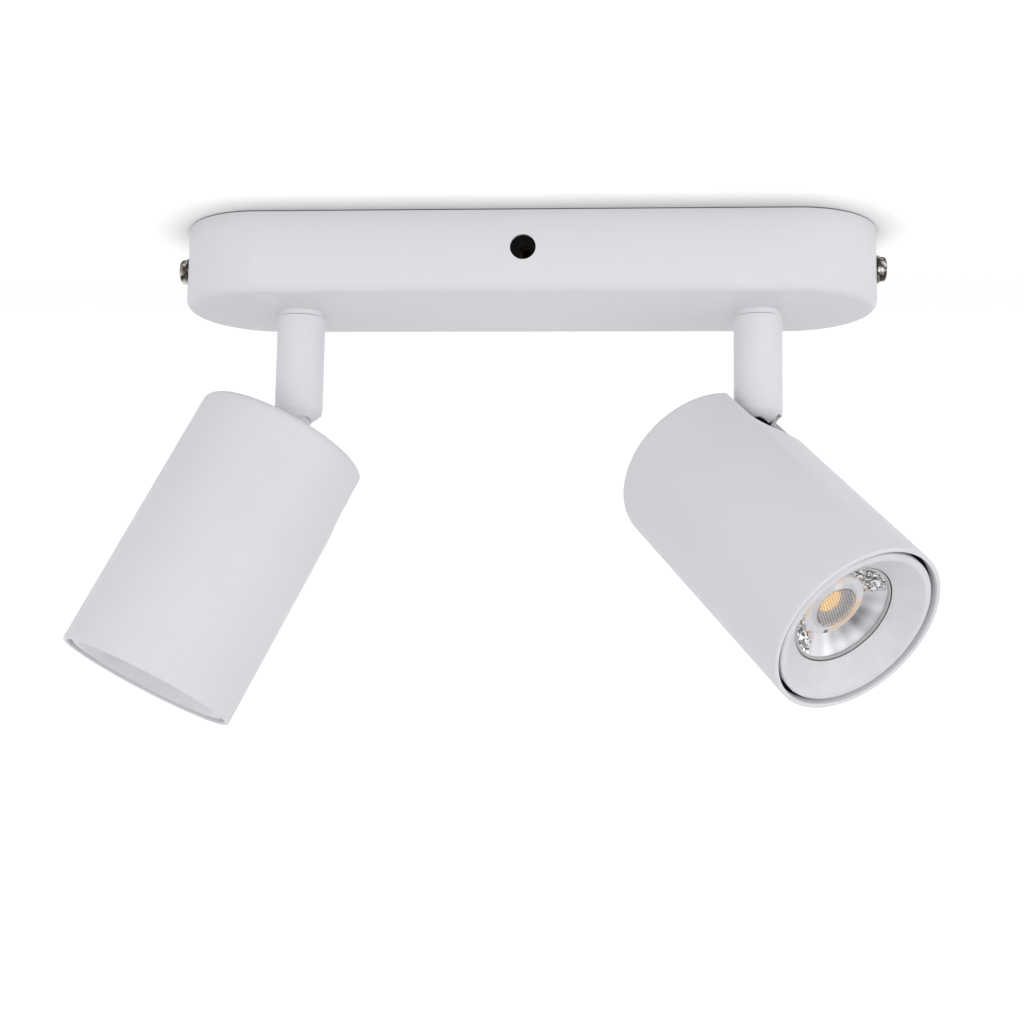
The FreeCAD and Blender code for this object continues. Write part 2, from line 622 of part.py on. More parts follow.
def arm_tube():
    """Turned arm with a domed lower end, its ball socket, and the slot that the neck swings in."""
    body = turned("arm", ("0", "-dome_drop"), ("arm_diameter / 2", "-dome_drop"), ("arm_diameter / 2", ARM_TOP),
                  ("arm_bore / 2", ARM_TOP), ("arm_bore / 2", "0"), ("0", "0"))
    low = -size("dome_drop")
    round_edges(body, body.Tip, "arm_round",
                lambda edge: abs(edge.BoundBox.ZMax - low) < 0.01 and edge.BoundBox.XLength > size("arm_bore"))
    return cut("arm_cut", body, sphere("socket", socket),
               box("neck_slot", "2 * arm_diameter", "2 * " + slot_half, "arm_diameter",
                   z="-dome_slot_top - arm_diameter"),
               cylinder("cheek", "cheek_relief", "2 * arm_diameter", y="-arm_diameter", z="-cheek_relief_drop",
                        axis="y"),
               ring("ring_groove", "arm_bore + 2 * snap_ring_groove", "arm_bore - 1", "snap_ring_height", ring_low))


def disc_springs():
    """Disc springs stacked rim to rim and hub to hub."""
    discs = []
    for number in range(DISCS):
        low = "(%s + %d * %s)" % (SEAT_TOP, number, disc_pitch)
        rim, hub = (low, low + " + disc_spring_rise") if number % 2 else (low + " + disc_spring_rise", low)
        discs.append(turned("disc_spring", ("arm_bore / 4", hub), ("arm_bore / 2 - 2 * fit_gap", rim),
                            ("arm_bore / 2 - 2 * fit_gap", rim + " + disc_spring_wall"),
                            ("arm_bore / 4", hub + " + disc_spring_wall")))
    return group("disc_spring_stack", *discs)


def ball_seat():
    """Nylon cup that the springs press onto the ball."""
    return cut("seat", ring("seat_ring", "arm_bore - 2 * fit_gap", "nipple_bore", "seat_height", "seat_lift"),
               sphere("seat_hollow", socket))


for side, sign in SIDES:
    frame = arm_frame[side]
    node(arm_tube(), "arm_" + side, frame)
    node(ring("insert", "arm_bore", "nipple_diameter + 2 * fit_gap", "insert_height", INSERT_LOW),
         "arm_insert_" + side, frame)
    node(ring("pan_washer", "arm_bore - 4 * fit_gap", "nipple_diameter + 2 * fit_gap", "pan_washer_height",
              INSERT_LOW + " - pan_washer_height"), "friction_washer_" + side, frame)
    node(ball_seat(), "ball_seat_" + side, frame)
    node(disc_springs(), "disc_springs_" + side, frame)
    node(ring("snap_ring", "arm_bore + 2 * snap_ring_groove", "arm_bore - 3", "snap_ring_height", ring_low),
         "snap_ring_" + side, frame)

# Links, one per side: a ball stud and the eye screwed onto it, hanging along -Z from the ball's centre
NECK_END = "(link_length - eye_top)"


def ball_stud():
    """Turned steel stud: ball, neck and thread."""
    ball = sphere("ball", "ball_diameter")
    flare = cone("flare", "neck_diameter", "neck_diameter + 2 * neck_flare", "ball_diameter / 2 - dome_drop / 2",
                 z="-ball_diameter / 2 - neck_flare")
    neck = cylinder("neck", "neck_diameter", NECK_END, z="-" + NECK_END)
    thread = cylinder("thread", "stud_thread", "2 * stud_thread_length", z="-%s - stud_thread_length" % NECK_END)
    return cut("stud_cut", fuse("stud", ball, flare, neck, thread),
               cylinder("stud_way", "stud_bore", "2 * link_length", z="-link_length"))


def link_eye():
    """Steel eye: a round shank above and a flat eye round the hinge pin."""
    shank = cylinder("shank", "eye_shank", "eye_top - eye_diameter / 4", z="eye_diameter / 4")
    eye = cylinder("eye", "eye_diameter", "eye_width", y="-eye_width / 2", axis="y")
    waist = box("waist", "eye_shank", "eye_width", "eye_diameter / 2")
    return cut("eye_cut", fuse("eye_blank", shank, eye, waist),
               cylinder("pin_bore", "hinge_pin + 2 * pin_gap", "2 * eye_width", y="-eye_width", axis="y"),
               box("eye_side_a", "2 * eye_diameter", "eye_width", "eye_top", y="eye_width", z="0"),
               box("eye_side_b", "2 * eye_diameter", "eye_width", "eye_top", y="-eye_width", z="0"),
               cylinder("stud_hole", "stud_thread", "2 * stud_thread_length", z="eye_top - stud_thread_length"),
               cylinder("lead_exit", "stud_bore", "eye_shank", z="eye_top - stud_thread_length", axis="x"))


for side, sign in SIDES:
    node(ball_stud(), "ball_stud_" + side, link_frame[side])
    node(link_eye(), "link_eye_" + side,
         link_frame[side] * Placement(Vector(0, 0, -size("link_length")), Rotation()))

# Heads, one per side, in a frame at the hinge pin: +Z to the rear, +X towards the arm's slot
REAR = "hinge_depth"
FRONT = "(hinge_depth - head_length)"
SLOT_END = "(hinge_depth - slot_depth + slot_width / 2)"
EAR_IN = "(eye_width / 2 + hinge_play + hinge_washer_height)"
EAR_OUT = "(%s + ear_wall)" % EAR_IN
CAP_IN = "(hinge_depth - cap_wall)"
PLATE_LOW = "(hinge_depth - holder_depth - ear_wall)"


def head_housing():
    """Deep drawn steel tube with a closed rear, slotted for the arm and the link's neck."""
    body = turned("housing", ("0", CAP_IN), ("head_diameter / 2 - head_wall", CAP_IN),
                  ("head_diameter / 2 - head_wall", FRONT), ("head_diameter / 2", FRONT),
                  ("head_diameter / 2", REAR), ("0", REAR))
    top = size(REAR)
    inside = amount(CAP_IN)
    round_edges(body, body.Tip, "head_edge",
                lambda edge: abs(edge.BoundBox.ZMin - top) < 0.01 and edge.BoundBox.XLength > 1)
    inner_radius = size("head_edge") - size("head_wall")
    inner_body_edge = doc.addObject("Part::Fillet", "housing_inner_round")
    doc.recompute()
    inner_body_edge.Base = body
    inner_body_edge.Edges = [(number, inner_radius, inner_radius)
                             for number, edge in enumerate(body.Shape.Edges, start=1)
                             if abs(edge.BoundBox.ZMin - inside) < 0.01 and abs(edge.BoundBox.ZMax - inside) < 0.01
                             and edge.BoundBox.XLength > 1]
    tools = [
        box("wide_slot", "head_diameter", "slot_width", "hinge_depth * 2", x="slot_start + head_diameter / 2",
            z=SLOT_END),
        cylinder("slot_round", "slot_width", "head_diameter", x="slot_start", z=SLOT_END, axis="x"),
        box("keyhole", "2 * slot_start", "keyhole_width", "3 * cap_wall", x="slot_start",
            z="hinge_depth - 2 * cap_wall"),
        cylinder("keyhole_end", "keyhole_width", "3 * cap_wall", z="hinge_depth - 2 * cap_wall"),
    ]
    for sign in ("1", "-1"):
        tools.append(cylinder("rear_screw_hole", "foot_screw + 2 * fit_gap", "3 * cap_wall",
                              y=sign + " * foot_screw_offset", z="hinge_depth - 2 * cap_wall"))
    return cut("housing_cut", inner_body_edge, *tools)


def hinge_bracket():
    """Bent steel bracket: feet on the rear wall, two ears round the link's eye, and a plate for the holder."""
    parts = [box("plate", "ear_height", "2 * " + EAR_OUT, "ear_wall", z=PLATE_LOW)]
    tools = [cylinder("wire_opening", "plate_hole", "3 * ear_wall", z=PLATE_LOW + " - ear_wall")]
    for sign in ("1", "-1"):
        parts.append(box("ear", "ear_height", "ear_wall", "%s - %s" % (CAP_IN, PLATE_LOW),
                         y="%s * (%s + ear_wall / 2)" % (sign, EAR_IN), z=PLATE_LOW))
        parts.append(box("foot", "ear_height", "foot_length", "ear_wall",
                         y="%s * (%s + foot_length / 2)" % (sign, EAR_IN), z=CAP_IN + " - ear_wall"))
        tools.append(cylinder("foot_thread", "foot_screw", "3 * ear_wall", y=sign + " * foot_screw_offset",
                              z=CAP_IN + " - 2 * ear_wall"))
        tools.append(cylinder("holder_thread", "holder_screw", "3 * ear_wall", x=sign + " * holder_screw_offset",
                              z=PLATE_LOW + " - ear_wall"))
    tools.append(cylinder("ear_hole", "hinge_pin", "4 * " + EAR_OUT, y="-2 * " + EAR_OUT, axis="y"))
    return cut("bracket_cut", fuse("bracket_blank", *parts), *tools)


def hinge_pin():
    """Riveted pin through both ears and the eye."""
    reach = "(%s + pin_head_height)" % EAR_OUT
    return fuse("pin_blank",
                cylinder("pin_rod", "hinge_pin", "2 * " + reach, y="-" + reach, axis="y"),
                cylinder("pin_head_disc", "pin_head", "pin_head_height", y=EAR_OUT, axis="y"),
                cylinder("pin_rivet", "pin_head * 0.85", "pin_head_height", y="-" + reach, axis="y"))


def hinge_washers():
    """Friction washers between the eye and the ears."""
    discs = []
    for low in ("eye_width / 2 + hinge_play", "-%s" % EAR_IN):
        disc = cut("hinge_disc", cylinder("disc_blank", "hinge_washer", "hinge_washer_height", y=low, axis="y"),
                   cylinder("disc_hole", "hinge_pin", "3 * hinge_washer_height",
                            y=low + " - hinge_washer_height", axis="y"))
        discs.append(disc)
    return group("hinge_disc_pair", *discs)


def rear_screws():
    """Two screws through the rear wall into the bracket's feet."""
    pair = [screw("rear_screw", "foot_screw_head", "foot_screw_head_height", "foot_screw", "foot_screw_length",
                  at(y=sign * size("foot_screw_offset"), z=size(REAR))) for sign in (1, -1)]
    return group("rear_screw_pair", *pair)


HOLDER_TOP = PLATE_LOW
HOLDER_LOW = "(%s - holder_height)" % HOLDER_TOP


def lamp_holder():
    """Ceramic lamp holder with two twist-and-lock pin holes."""
    tools = []
    for sign in ("1", "-1"):
        tools.append(cylinder("pin_room", "pin_slot", "lamp_pin_length + 1", y=sign + " * pin_pitch / 2",
                              z=HOLDER_LOW + " - 0.5"))
        tools.append(cylinder("holder_hole", "holder_screw + 0.3", "2 * holder_height",
                              x=sign + " * holder_screw_offset", z=HOLDER_LOW + " - holder_height / 2"))
        tools.append(cylinder("holder_sink", "holder_screw_head + 0.6", "holder_height / 2",
                              x=sign + " * holder_screw_offset", z=HOLDER_LOW + " - 0.1"))
    return cut("holder_cut", cylinder("holder_body", "holder_diameter", "holder_height", z=HOLDER_LOW), *tools)


def holder_screws():
    """Two screws that fix the holder to the bracket's plate."""
    seat = amount(HOLDER_LOW + " + holder_height / 2 - 0.1")
    pair = [screw("holder_screw_piece", "holder_screw_head", "holder_screw_head_height", "holder_screw",
                  "holder_height / 2 + ear_wall + 0.1",
                  at(x=sign * size("holder_screw_offset"), z=seat, turn=upside_down)) for sign in (1, -1)]
    return group("holder_screw_pair", *pair)


LAMP_TOP = "(%s - lamp_gap)" % HOLDER_LOW
FACE = "(%s + face_recess)" % FRONT
BOARD_LOW = "(%s + board_depth)" % FACE


def lamp_body():
    """Reflector lamp's cup: a straight rear end that flares to the front rim."""
    foot_low = "(%s - lamp_foot_height)" % LAMP_TOP
    rim_top = "(%s + lamp_rim)" % FACE
    return turned("lamp",
                  ("0", LAMP_TOP), ("0", LAMP_TOP + " - lamp_wall"),
                  ("lamp_foot / 2 - lamp_wall", LAMP_TOP + " - lamp_wall"),
                  ("lamp_foot / 2 - lamp_wall", foot_low),
                  ("board_diameter / 2", BOARD_LOW + " + board_height"),
                  ("board_diameter / 2", BOARD_LOW),
                  ("lamp_diameter / 2 - lamp_wall", rim_top), ("lamp_diameter / 2 - lamp_wall", FACE),
                  ("lamp_diameter / 2", FACE), ("lamp_diameter / 2", rim_top),
                  ("lamp_foot / 2", foot_low), ("lamp_foot / 2", LAMP_TOP))


def lamp_lens():
    """Clear front lens with a thick boss over the chip."""
    rim = "(lamp_diameter / 2 - lamp_wall - fit_gap)"
    back = "(%s + lens_wall)" % FACE
    return turned("lens", ("0", FACE), (rim, FACE), (rim, back), ("lens_boss / 2", back),
                  ("lens_boss / 2", back + " + lens_boss_height"), ("0", back + " + lens_boss_height"))


def lamp_pins():
    """Two headed contact pins at the lamp's rear."""
    pair = []
    for sign in ("1", "-1"):
        pin_y = sign + " * pin_pitch / 2"
        neck = cylinder("pin_neck", "lamp_pin_neck", "lamp_pin_length", y=pin_y, z=LAMP_TOP)
        flange = cylinder("pin_flange", "lamp_pin", "lamp_pin_flange", y=pin_y,
                          z=LAMP_TOP + " + lamp_pin_length - lamp_pin_flange")
        pair.append(fuse("lamp_pin_piece", neck, flange))
    return group("lamp_pin_pair", *pair)


TUBE_IN = "(head_diameter / 2 - head_wall)"
TRIM_OUT = "(%s - trim_gap)" % TUBE_IN
TRIM_OPEN = "(lamp_diameter / 2 - trim_cover)"
LIP = "(%s + trim_recess)" % FRONT


def trim_ring():
    """White anti-glare ring: rounded lip, cone down to the lamp's face, and a skirt inside the tube."""
    cone_out = "(%s - trim_lip)" % TRIM_OUT
    deep = "(%s + trim_depth)" % LIP
    body = turned("trim", (cone_out, LIP), (TRIM_OUT, LIP), (TRIM_OUT, LIP + " + trim_skirt"),
                  (TRIM_OUT + " - trim_wall", LIP + " + trim_skirt"), (TRIM_OUT + " - trim_wall", LIP + " + trim_wall"),
                  (cone_out + " + 2 * fit_gap", LIP + " + trim_wall"), (TRIM_OPEN + " + trim_wall", deep),
                  (TRIM_OPEN, deep))
    front = amount(LIP)
    round_edges(body, body.Tip, "trim_round",
                lambda edge: abs(edge.BoundBox.ZMax - front) < 0.01 and abs(edge.BoundBox.ZMin - front) < 0.01)
    return body


def trim_clips():
    """Three leaf clips on the trim's skirt that grip the tube."""
    clips = []
    low = "(%s + clip_lift)" % LIP
    bow = "(trim_gap - clip_wall)"
    for number in range(3):
        leaf = box("clip_leaf", "clip_wall", "clip_width", "clip_height", x=TRIM_OUT + " + clip_wall / 2", z=low)
        foot = cylinder("clip_bow", bow, "clip_width", x="%s + clip_wall + %s / 2 - 2 * fit_gap" % (TRIM_OUT, bow),
                        y="-clip_width / 2", z=low + " + clip_height / 2", axis="y")
        clip = fuse("clip", leaf, foot)
        clip.Placement = turn_about(Z_AXIS, 60 + 120 * number)
        clips.append(clip)
    return group("clip_set", *clips)


for side, sign in SIDES:
    frame = head_frame[side]
    node(head_housing(), "head_housing_" + side, frame)
    node(hinge_bracket(), "hinge_bracket_" + side, frame)
    node(hinge_pin(), "hinge_pin_" + side, frame)
    node(hinge_washers(), "hinge_washers_" + side, frame)
    node(rear_screws(), "rear_screws_" + side, frame)
    node(lamp_holder(), "lamp_holder_" + side, frame)
    node(holder_screws(), "holder_screws_" + side, frame)
    node(lamp_body(), "lamp_body_" + side, frame)
    node(lamp_pins(), "lamp_pins_" + side, frame)
    node(disc("board", "board_diameter - 2 * fit_gap", "board_height", BOARD_LOW), "led_board_" + side, frame)
    node(disc("chip", "chip_diameter", "chip_height", BOARD_LOW + " - chip_height"), "led_chip_" + side, frame)
    node(lamp_lens(), "lamp_lens_" + side, frame)
    node(trim_ring(), "trim_ring_" + side, frame)
    node(trim_clips(), "trim_clips_" + side, frame)

# Check every object, then write each sub-part
doc.recompute()
for item in doc.Objects:
    if "Invalid" in item.State or "Error" in item.State:
        raise SystemExit("%s failed: %s" % (item.Name, item.State))
for item in nodes:
    if item.Shape.isNull() or not item.Shape.isValid() or not item.Shape.Solids:
        raise SystemExit("%s has no valid solid" % item.Label)
os.makedirs("parts", exist_ok=True)
for item in nodes:
    item.Shape.exportStep("parts/%s.step" % item.Label)
print(len(nodes), "nodes,", sum(len(item.Shape.Solids) for item in nodes), "solids")
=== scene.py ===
"""Two-head pivoting spotlight: a white bar with two arms, ball joints and cylindrical lamp heads.

The script follows the order in which the light is put together. Pieces are drawn in
millimetres and repeat the sizes of the solids that they stand for.
"""

import math
import random

import bmesh
import bpy
from mathutils import Matrix, Vector


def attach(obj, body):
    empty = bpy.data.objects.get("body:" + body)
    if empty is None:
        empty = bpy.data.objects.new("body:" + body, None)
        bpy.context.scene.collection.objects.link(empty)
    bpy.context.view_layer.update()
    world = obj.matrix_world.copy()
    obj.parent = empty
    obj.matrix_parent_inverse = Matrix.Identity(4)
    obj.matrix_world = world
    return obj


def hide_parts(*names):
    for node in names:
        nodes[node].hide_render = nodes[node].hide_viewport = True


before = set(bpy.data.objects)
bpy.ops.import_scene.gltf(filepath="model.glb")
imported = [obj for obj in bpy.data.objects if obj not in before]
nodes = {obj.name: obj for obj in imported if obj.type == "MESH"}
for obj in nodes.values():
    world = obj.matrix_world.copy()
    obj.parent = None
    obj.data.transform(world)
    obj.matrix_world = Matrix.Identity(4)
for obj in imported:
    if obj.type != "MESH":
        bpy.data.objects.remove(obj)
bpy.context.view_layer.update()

mm = 0.001
SIGNS = {"left": -1, "right": 1}

# Sizes that the pieces share with the solids, in millimetres
BAR_LENGTH, BAR_WIDTH, BAR_HEIGHT = 236.0, 57.0, 27.5
SIDE_DROP = 12.5
WASHER_HEIGHT = 1.0
ARM_OFFSET = 78.4
PIVOT_DROP = 62.3
LINK_LENGTH = 30.0
LEAD_SIZE = 2.2
HEAD_REAR, HEAD_FRONT = 20.0, -75.0
HEAD_RADIUS, HEAD_BORE = 30.0, 28.5
ARM_SLOT_WIDTH, ARM_SLOT_DEPTH, NECK_SLOT_WIDTH = 24.0, 27.5, 7.8
REAR_SCREW_OFFSET = 11.5

# Camera: a little below the bar and in front of it, looking up, nearly square to the bar.
FRAME_PIXELS, FOCAL_PIXELS, SENSOR_WIDTH = 1024, 1572.2, 36.0
camera_spot = Vector((0.03491, -0.52533, -0.16451))
camera_yaw, camera_pitch, camera_roll = (math.radians(a) for a in (4.257, 7.38, 0.954))
look = Vector((-math.sin(camera_yaw) * math.cos(camera_pitch),
               math.cos(camera_yaw) * math.cos(camera_pitch), math.sin(camera_pitch)))
level_right = look.cross(Vector((0, 0, 1))).normalized()
level_up = level_right.cross(look)
right = math.cos(camera_roll) * level_right + math.sin(camera_roll) * level_up
up = -math.sin(camera_roll) * level_right + math.cos(camera_roll) * level_up
camera_data = bpy.data.cameras.new("photo_camera")
camera_data.sensor_width = SENSOR_WIDTH
camera_data.lens = FOCAL_PIXELS / FRAME_PIXELS * SENSOR_WIDTH
camera_data.clip_start, camera_data.clip_end = 0.01, 50.0
camera = bpy.data.objects.new("photo_camera", camera_data)
camera.matrix_world = Matrix.Translation(camera_spot) @ Matrix((right, up, -look)).transposed().to_4x4()
bpy.context.collection.objects.link(camera)
bpy.context.scene.camera = camera
bpy.context.scene.view_settings.view_transform = "Standard"


# Shared steps for the materials
def put(tree, node, inputs):
    """Put values, or the outputs of other nodes, into a node's inputs."""
    for socket, value in inputs.items():
        if isinstance(value, bpy.types.NodeSocket):
            tree.links.new(value, node.inputs[socket])
        else:
            node.inputs[socket].default_value = value


def add(tree, kind, inputs, **settings):
    """Add a shader node with its settings and its inputs."""
    node = tree.nodes.new("ShaderNode" + kind)
    for setting, value in settings.items():
        setattr(node, setting, value)
    put(tree, node, inputs)
    return node


def ramp(tree, factor, stops, interpolation="LINEAR"):
    """Colour that goes through the stops, each a place and a colour, as the factor rises."""
    node = add(tree, "ValToRGB", {"Fac": factor})
    node.color_ramp.interpolation = interpolation
    elements = node.color_ramp.elements
    for element, (position, colour) in zip(elements, (stops[0], stops[-1])):
        element.position, element.color = position, (*colour, 1)
    for position, colour in stops[1:-1]:
        elements.new(position).color = (*colour, 1)
    return node.outputs["Color"]


def span(tree, value, low, high, **limits):
    """Value brought from 0 to 1, or from other limits, to a range."""
    inputs = {"Value": value, "To Min": low, "To Max": high}
    if limits:
        inputs["From Min"], inputs["From Max"] = limits["start"], limits["end"]
    return add(tree, "MapRange", inputs).outputs["Result"]


def noise(tree, place, scale, detail=2.0):
    """Cloudy pattern at a scale in cycles per metre."""
    return add(tree, "TexNoise", {"Vector": place, "Scale": scale, "Detail": detail}).outputs["Fac"]


def bumps(tree, height, strength, distance):
    """Fine relief from a pattern."""
    return add(tree, "Bump", {"Height": height, "Strength": strength, "Distance": distance}).outputs["Normal"]


def principled(name):
    """A new material, its node tree, its shader and the place of each point on the piece."""
    material = bpy.data.materials.new(name)
    material.use_nodes = True
    tree = material.node_tree
    place = add(tree, "TexCoord", {}).outputs["Object"]
    return material, tree, tree.nodes["Principled BSDF"], place


# Studio: a white ceiling that the bar is fixed to and a white backdrop behind it.
# Both are seen from their lit side only, and soft lamps light the light from the front.
def white_surface(name, shade, lift, contact):
    """Pale paint that keeps soft shadows, with painted contact shade close to what touches it, see-through from
    its back.
    """
    paint = bpy.data.materials.new(name)
    paint.use_nodes = True
    tree = paint.node_tree
    tree.nodes.clear()
    # The painted contact shade close to the bar is weaker past the bar's ends
    near = add(tree, "AmbientOcclusion", {"Distance": 0.022}, samples=12)
    place = add(tree, "TexCoord", {}).outputs["Object"]
    along = add(tree, "SeparateXYZ", {0: place}).outputs["X"]
    from_middle = add(tree, "Math", {0: along}, operation="ABSOLUTE").outputs[0]
    power = span(tree, from_middle, contact, contact * 0.4, start=0.095, end=0.128)
    # Painted contact shade: occlusion near the bar darkens both the colour and the lift.
    painted_contact_shade = add(tree, "Math", {0: near.outputs["AO"], 1: power}, operation="POWER").outputs[0]
    tone = add(tree, "Mix", {0: painted_contact_shade, 6: (0, 0, 0, 1), 7: (shade, shade, shade, 1)}, data_type="RGBA")
    matte = add(tree, "BsdfDiffuse", {"Color": tone.outputs[2]})
    # The lift shows to the eye, straight on or by way of gloss and glass, and lights nothing
    path = add(tree, "LightPath", {}).outputs
    seen = add(tree, "Math", {0: path["Is Camera Ray"], 1: path["Is Glossy Ray"]}, operation="MAXIMUM")
    seen_too = add(tree, "Math", {0: seen.outputs[0], 1: path["Is Transmission Ray"]}, operation="MAXIMUM")
    strength = add(tree, "Math", {0: seen_too.outputs[0], 1: painted_contact_shade}, operation="MULTIPLY")
    lifted = add(tree, "Math", {0: strength.outputs[0], 1: lift}, operation="MULTIPLY")
    glow = add(tree, "Emission", {"Strength": lifted.outputs[0]})
    both = add(tree, "AddShader", {0: matte.outputs[0], 1: glow.outputs[0]})
    clear = add(tree, "BsdfTransparent", {})
    side = add(tree, "NewGeometry", {}).outputs["Backfacing"]
    pick = add(tree, "MixShader", {"Fac": side, 1: both.outputs[0], 2: clear.outputs[0]})
    add(tree, "OutputMaterial", {"Surface": pick.outputs[0]})
    return paint


bpy.ops.object.select_all(action="DESELECT")
bpy.ops.mesh.primitive_plane_add(size=6.0, location=(0, -2.945, 0.0004), rotation=(math.pi, 0, 0))
ceiling = bpy.context.object
ceiling.name = "studio_ceiling"
bpy.ops.mesh.primitive_plane_add(size=6.0, location=(0, 0.1, -2.9996), rotation=(math.pi / 2, 0, 0))
backdrop = bpy.context.object
backdrop.name = "studio_backdrop"
for surface, shade, lift, contact in ((ceiling, 0.86, 0.50, 1.2), (backdrop, 0.80, 0.50, 0.0)):
    surface.data.materials.append(white_surface(surface.name + "_paint", shade, lift, contact))

world = bpy.data.worlds.new("studio_air")
bpy.context.scene.world = world
world.use_nodes = True
air = world.node_tree
to_the_eye = add(air, "LightPath", {}).outputs["Is Camera Ray"]
brightness = add(air, "Mix", {0: to_the_eye, 2: 0.70, 3: 1.0}, data_type="FLOAT")
put(air, air.nodes["Background"], {"Color": (1, 1, 1, 1), "Strength": brightness.outputs[0]})


def softbox(name, spot, aim, width, height, power):
    """Rectangular lamp at a spot, turned to face a point."""
    data = bpy.data.lights.new(name, "AREA")
    data.shape = "RECTANGLE"
    data.size, data.size_y, data.energy = width, height, power
    lamp = bpy.data.objects.new(name, data)
    lamp.location = spot
    lamp.rotation_euler = (Vector(aim) - Vector(spot)).to_track_quat("-Z", "Y").to_euler()
    bpy.context.collection.objects.link(lamp)


softbox("front_softbox", (0.10, -1.1, -0.15), (0, 0, -0.07), 0.9, 0.9, 3.3)
softbox("right_softbox", (0.85, -0.50, -0.10), (0, 0, -0.09), 0.40, 0.40, 1.3)
softbox("left_softbox", (-0.85, -0.40, -0.12), (0, 0, -0.09), 0.40, 0.40, 0.5)


# Mounting strip: bent from 1.5 mm steel strip and bright zinc plated, with the rolling
# direction along the bar. It is screwed to the ceiling through its two slots.
def plated(name, tint, grain, dark=None, stops=(0.32, 0.68), cloud=120.0, gloss=(0.26, 0.46), coat=0.0):
    """Plated or polished metal: faint drawn grain and clouds from a dark to the full tint, a random tone, and
    painted reflections where the dark is near black.
    """
    metal, tree, shader, place = principled(name)
    stretch = add(tree, "Mapping", {"Vector": place, "Scale": grain})
    drawn = noise(tree, stretch.outputs["Vector"], 1.0, 3.0)
    tones = ((stops[0], dark or [c * 0.82 for c in tint]), (stops[1], tint))
    put(tree, shader, {"Metallic": 1.0, "Coat Weight": coat,
                       "Base Color": ramp(tree, noise(tree, place, cloud, 4.0), tones),
                       "Roughness": span(tree, drawn, *gloss),
                       "Normal": bumps(tree, drawn, 0.25, 0.00003)})
    return metal


def finish(node_names, material):
    """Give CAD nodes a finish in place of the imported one."""
    for node_name in node_names:
        slots = nodes[node_name].material_slots
        if not slots:
            nodes[node_name].data.materials.append(material)
        for slot in slots:
            slot.material = material


zinc_along_bar = plated("zinc_plated_strip", (0.72, 0.73, 0.74), (60, 900, 900))
finish(["mounting_strip"], zinc_along_bar)


# Terminal block: a moulded nylon block with three poles, screwed to the strip through its
# middle. Each pole is a brass sleeve with two clamping screws. Block and sleeves are painted near black as
# shade, so that the cable hole reads dark.
def moulded(name, colour, roughness, coat=0.0, see_through=0.0):
    """Moulded plastic or ceramic: a slightly uneven gloss and a very fine skin."""
    plastic, tree, shader, place = principled(name)
    patch = noise(tree, place, 180.0, 3.0)
    put(tree, shader, {"Subsurface Weight": see_through, "Subsurface Scale": 0.001, "Coat Weight": coat,
                       "Base Color": ramp(tree, patch, ((0.3, [c * 0.93 for c in colour]), (0.7, colour))),
                       "Roughness": span(tree, patch, roughness - 0.06, roughness + 0.06),
                       "Normal": bumps(tree, noise(tree, place, 2600.0), 0.2, 0.00002)})
    return plastic


white_nylon = moulded("white_nylon", (0.79, 0.78, 0.73), 0.42, see_through=0.15)
# Painted shade: the block's near-black colour and the sleeves' dark brass stand in for the shade inside the
# bar.
nylon_painted_black_shade = moulded("nylon_painted_black_shade", (0.012, 0.012, 0.013), 0.5)
sleeve_brass_dark_shade = plated("brass_painted_dark_shade", (0.14, 0.10, 0.05), (200, 1400, 1400))
bright_screw = plated("bright_zinc_screw", (0.74, 0.75, 0.77), (500, 500, 500))
finish(["terminal_block"], nylon_painted_black_shade)
finish(["terminal_sleeves"], sleeve_brass_dark_shade)
finish(["terminal_screws", "block_screw", "earth_screw"], bright_screw)


def select_only(piece):
    """Make a piece the active one and the only one that is selected."""
    bpy.ops.object.select_all(action="DESELECT")
    piece.select_set(True)
    bpy.context.view_layer.objects.active = piece


# Inner leads: two insulated wires to each lamp, from the terminal block along the back of the
# bar and down through the hollow nipple. Brown is live and blue is neutral.
BLOCK_FACE, BLOCK_LEVEL = 6.5, -8.65
BEND_LEVEL, LEAD_END = -9.8, -38.6
lead_colours = {"brown": (0.17, 0.075, 0.035), "blue": (0.03, 0.10, 0.42)}
lead_finish = {colour: moulded(colour + "_insulation", shade, 0.38, coat=0.2)
               for colour, shade in lead_colours.items()}
leads = []
for side, sign in SIGNS.items():
    for colour, pole, shift in (("brown", 1.2, -1), ("blue", 9.6, 1)):
        run = 22.0 + shift * LEAD_SIZE
        down = sign * ARM_OFFSET + shift * 1.25
        points = [(sign * pole, BLOCK_FACE, BLOCK_LEVEL), (sign * pole, run - 4, BLOCK_LEVEL),
                  (sign * pole * 1.2, run, BLOCK_LEVEL), (sign * (pole + 8), run, BLOCK_LEVEL),
                  (down - sign * 30, run, BLOCK_LEVEL), (down - sign * 20, run - 3, BLOCK_LEVEL),
                  (down - sign * 5, 1.5, BEND_LEVEL), (down, 0, BEND_LEVEL), (down, 0, -14),
                  (down, 0, LEAD_END)]
        route = bpy.data.curves.new("lead", "CURVE")
        route.dimensions = "3D"
        spline = route.splines.new("NURBS")
        spline.points.add(len(points) - 1)
        for point, place in zip(spline.points, points):
            point.co = (*(length * mm for length in place), 1)
        spline.order_u, spline.use_endpoint_u = 3, True
        route.resolution_u, route.bevel_resolution = 8, 4
        route.bevel_depth, route.use_fill_caps = LEAD_SIZE * mm / 2, True
        lead = bpy.data.objects.new(colour + "_lead_" + side, route)
        bpy.context.collection.objects.link(lead)
        select_only(lead)
        bpy.ops.object.convert(target="MESH")
        lead.data.materials.append(lead_finish[colour])
        bpy.ops.object.shade_smooth()
        leads.append(lead)
for lead in leads:
    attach(lead, "base")
    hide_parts("supply_leads")
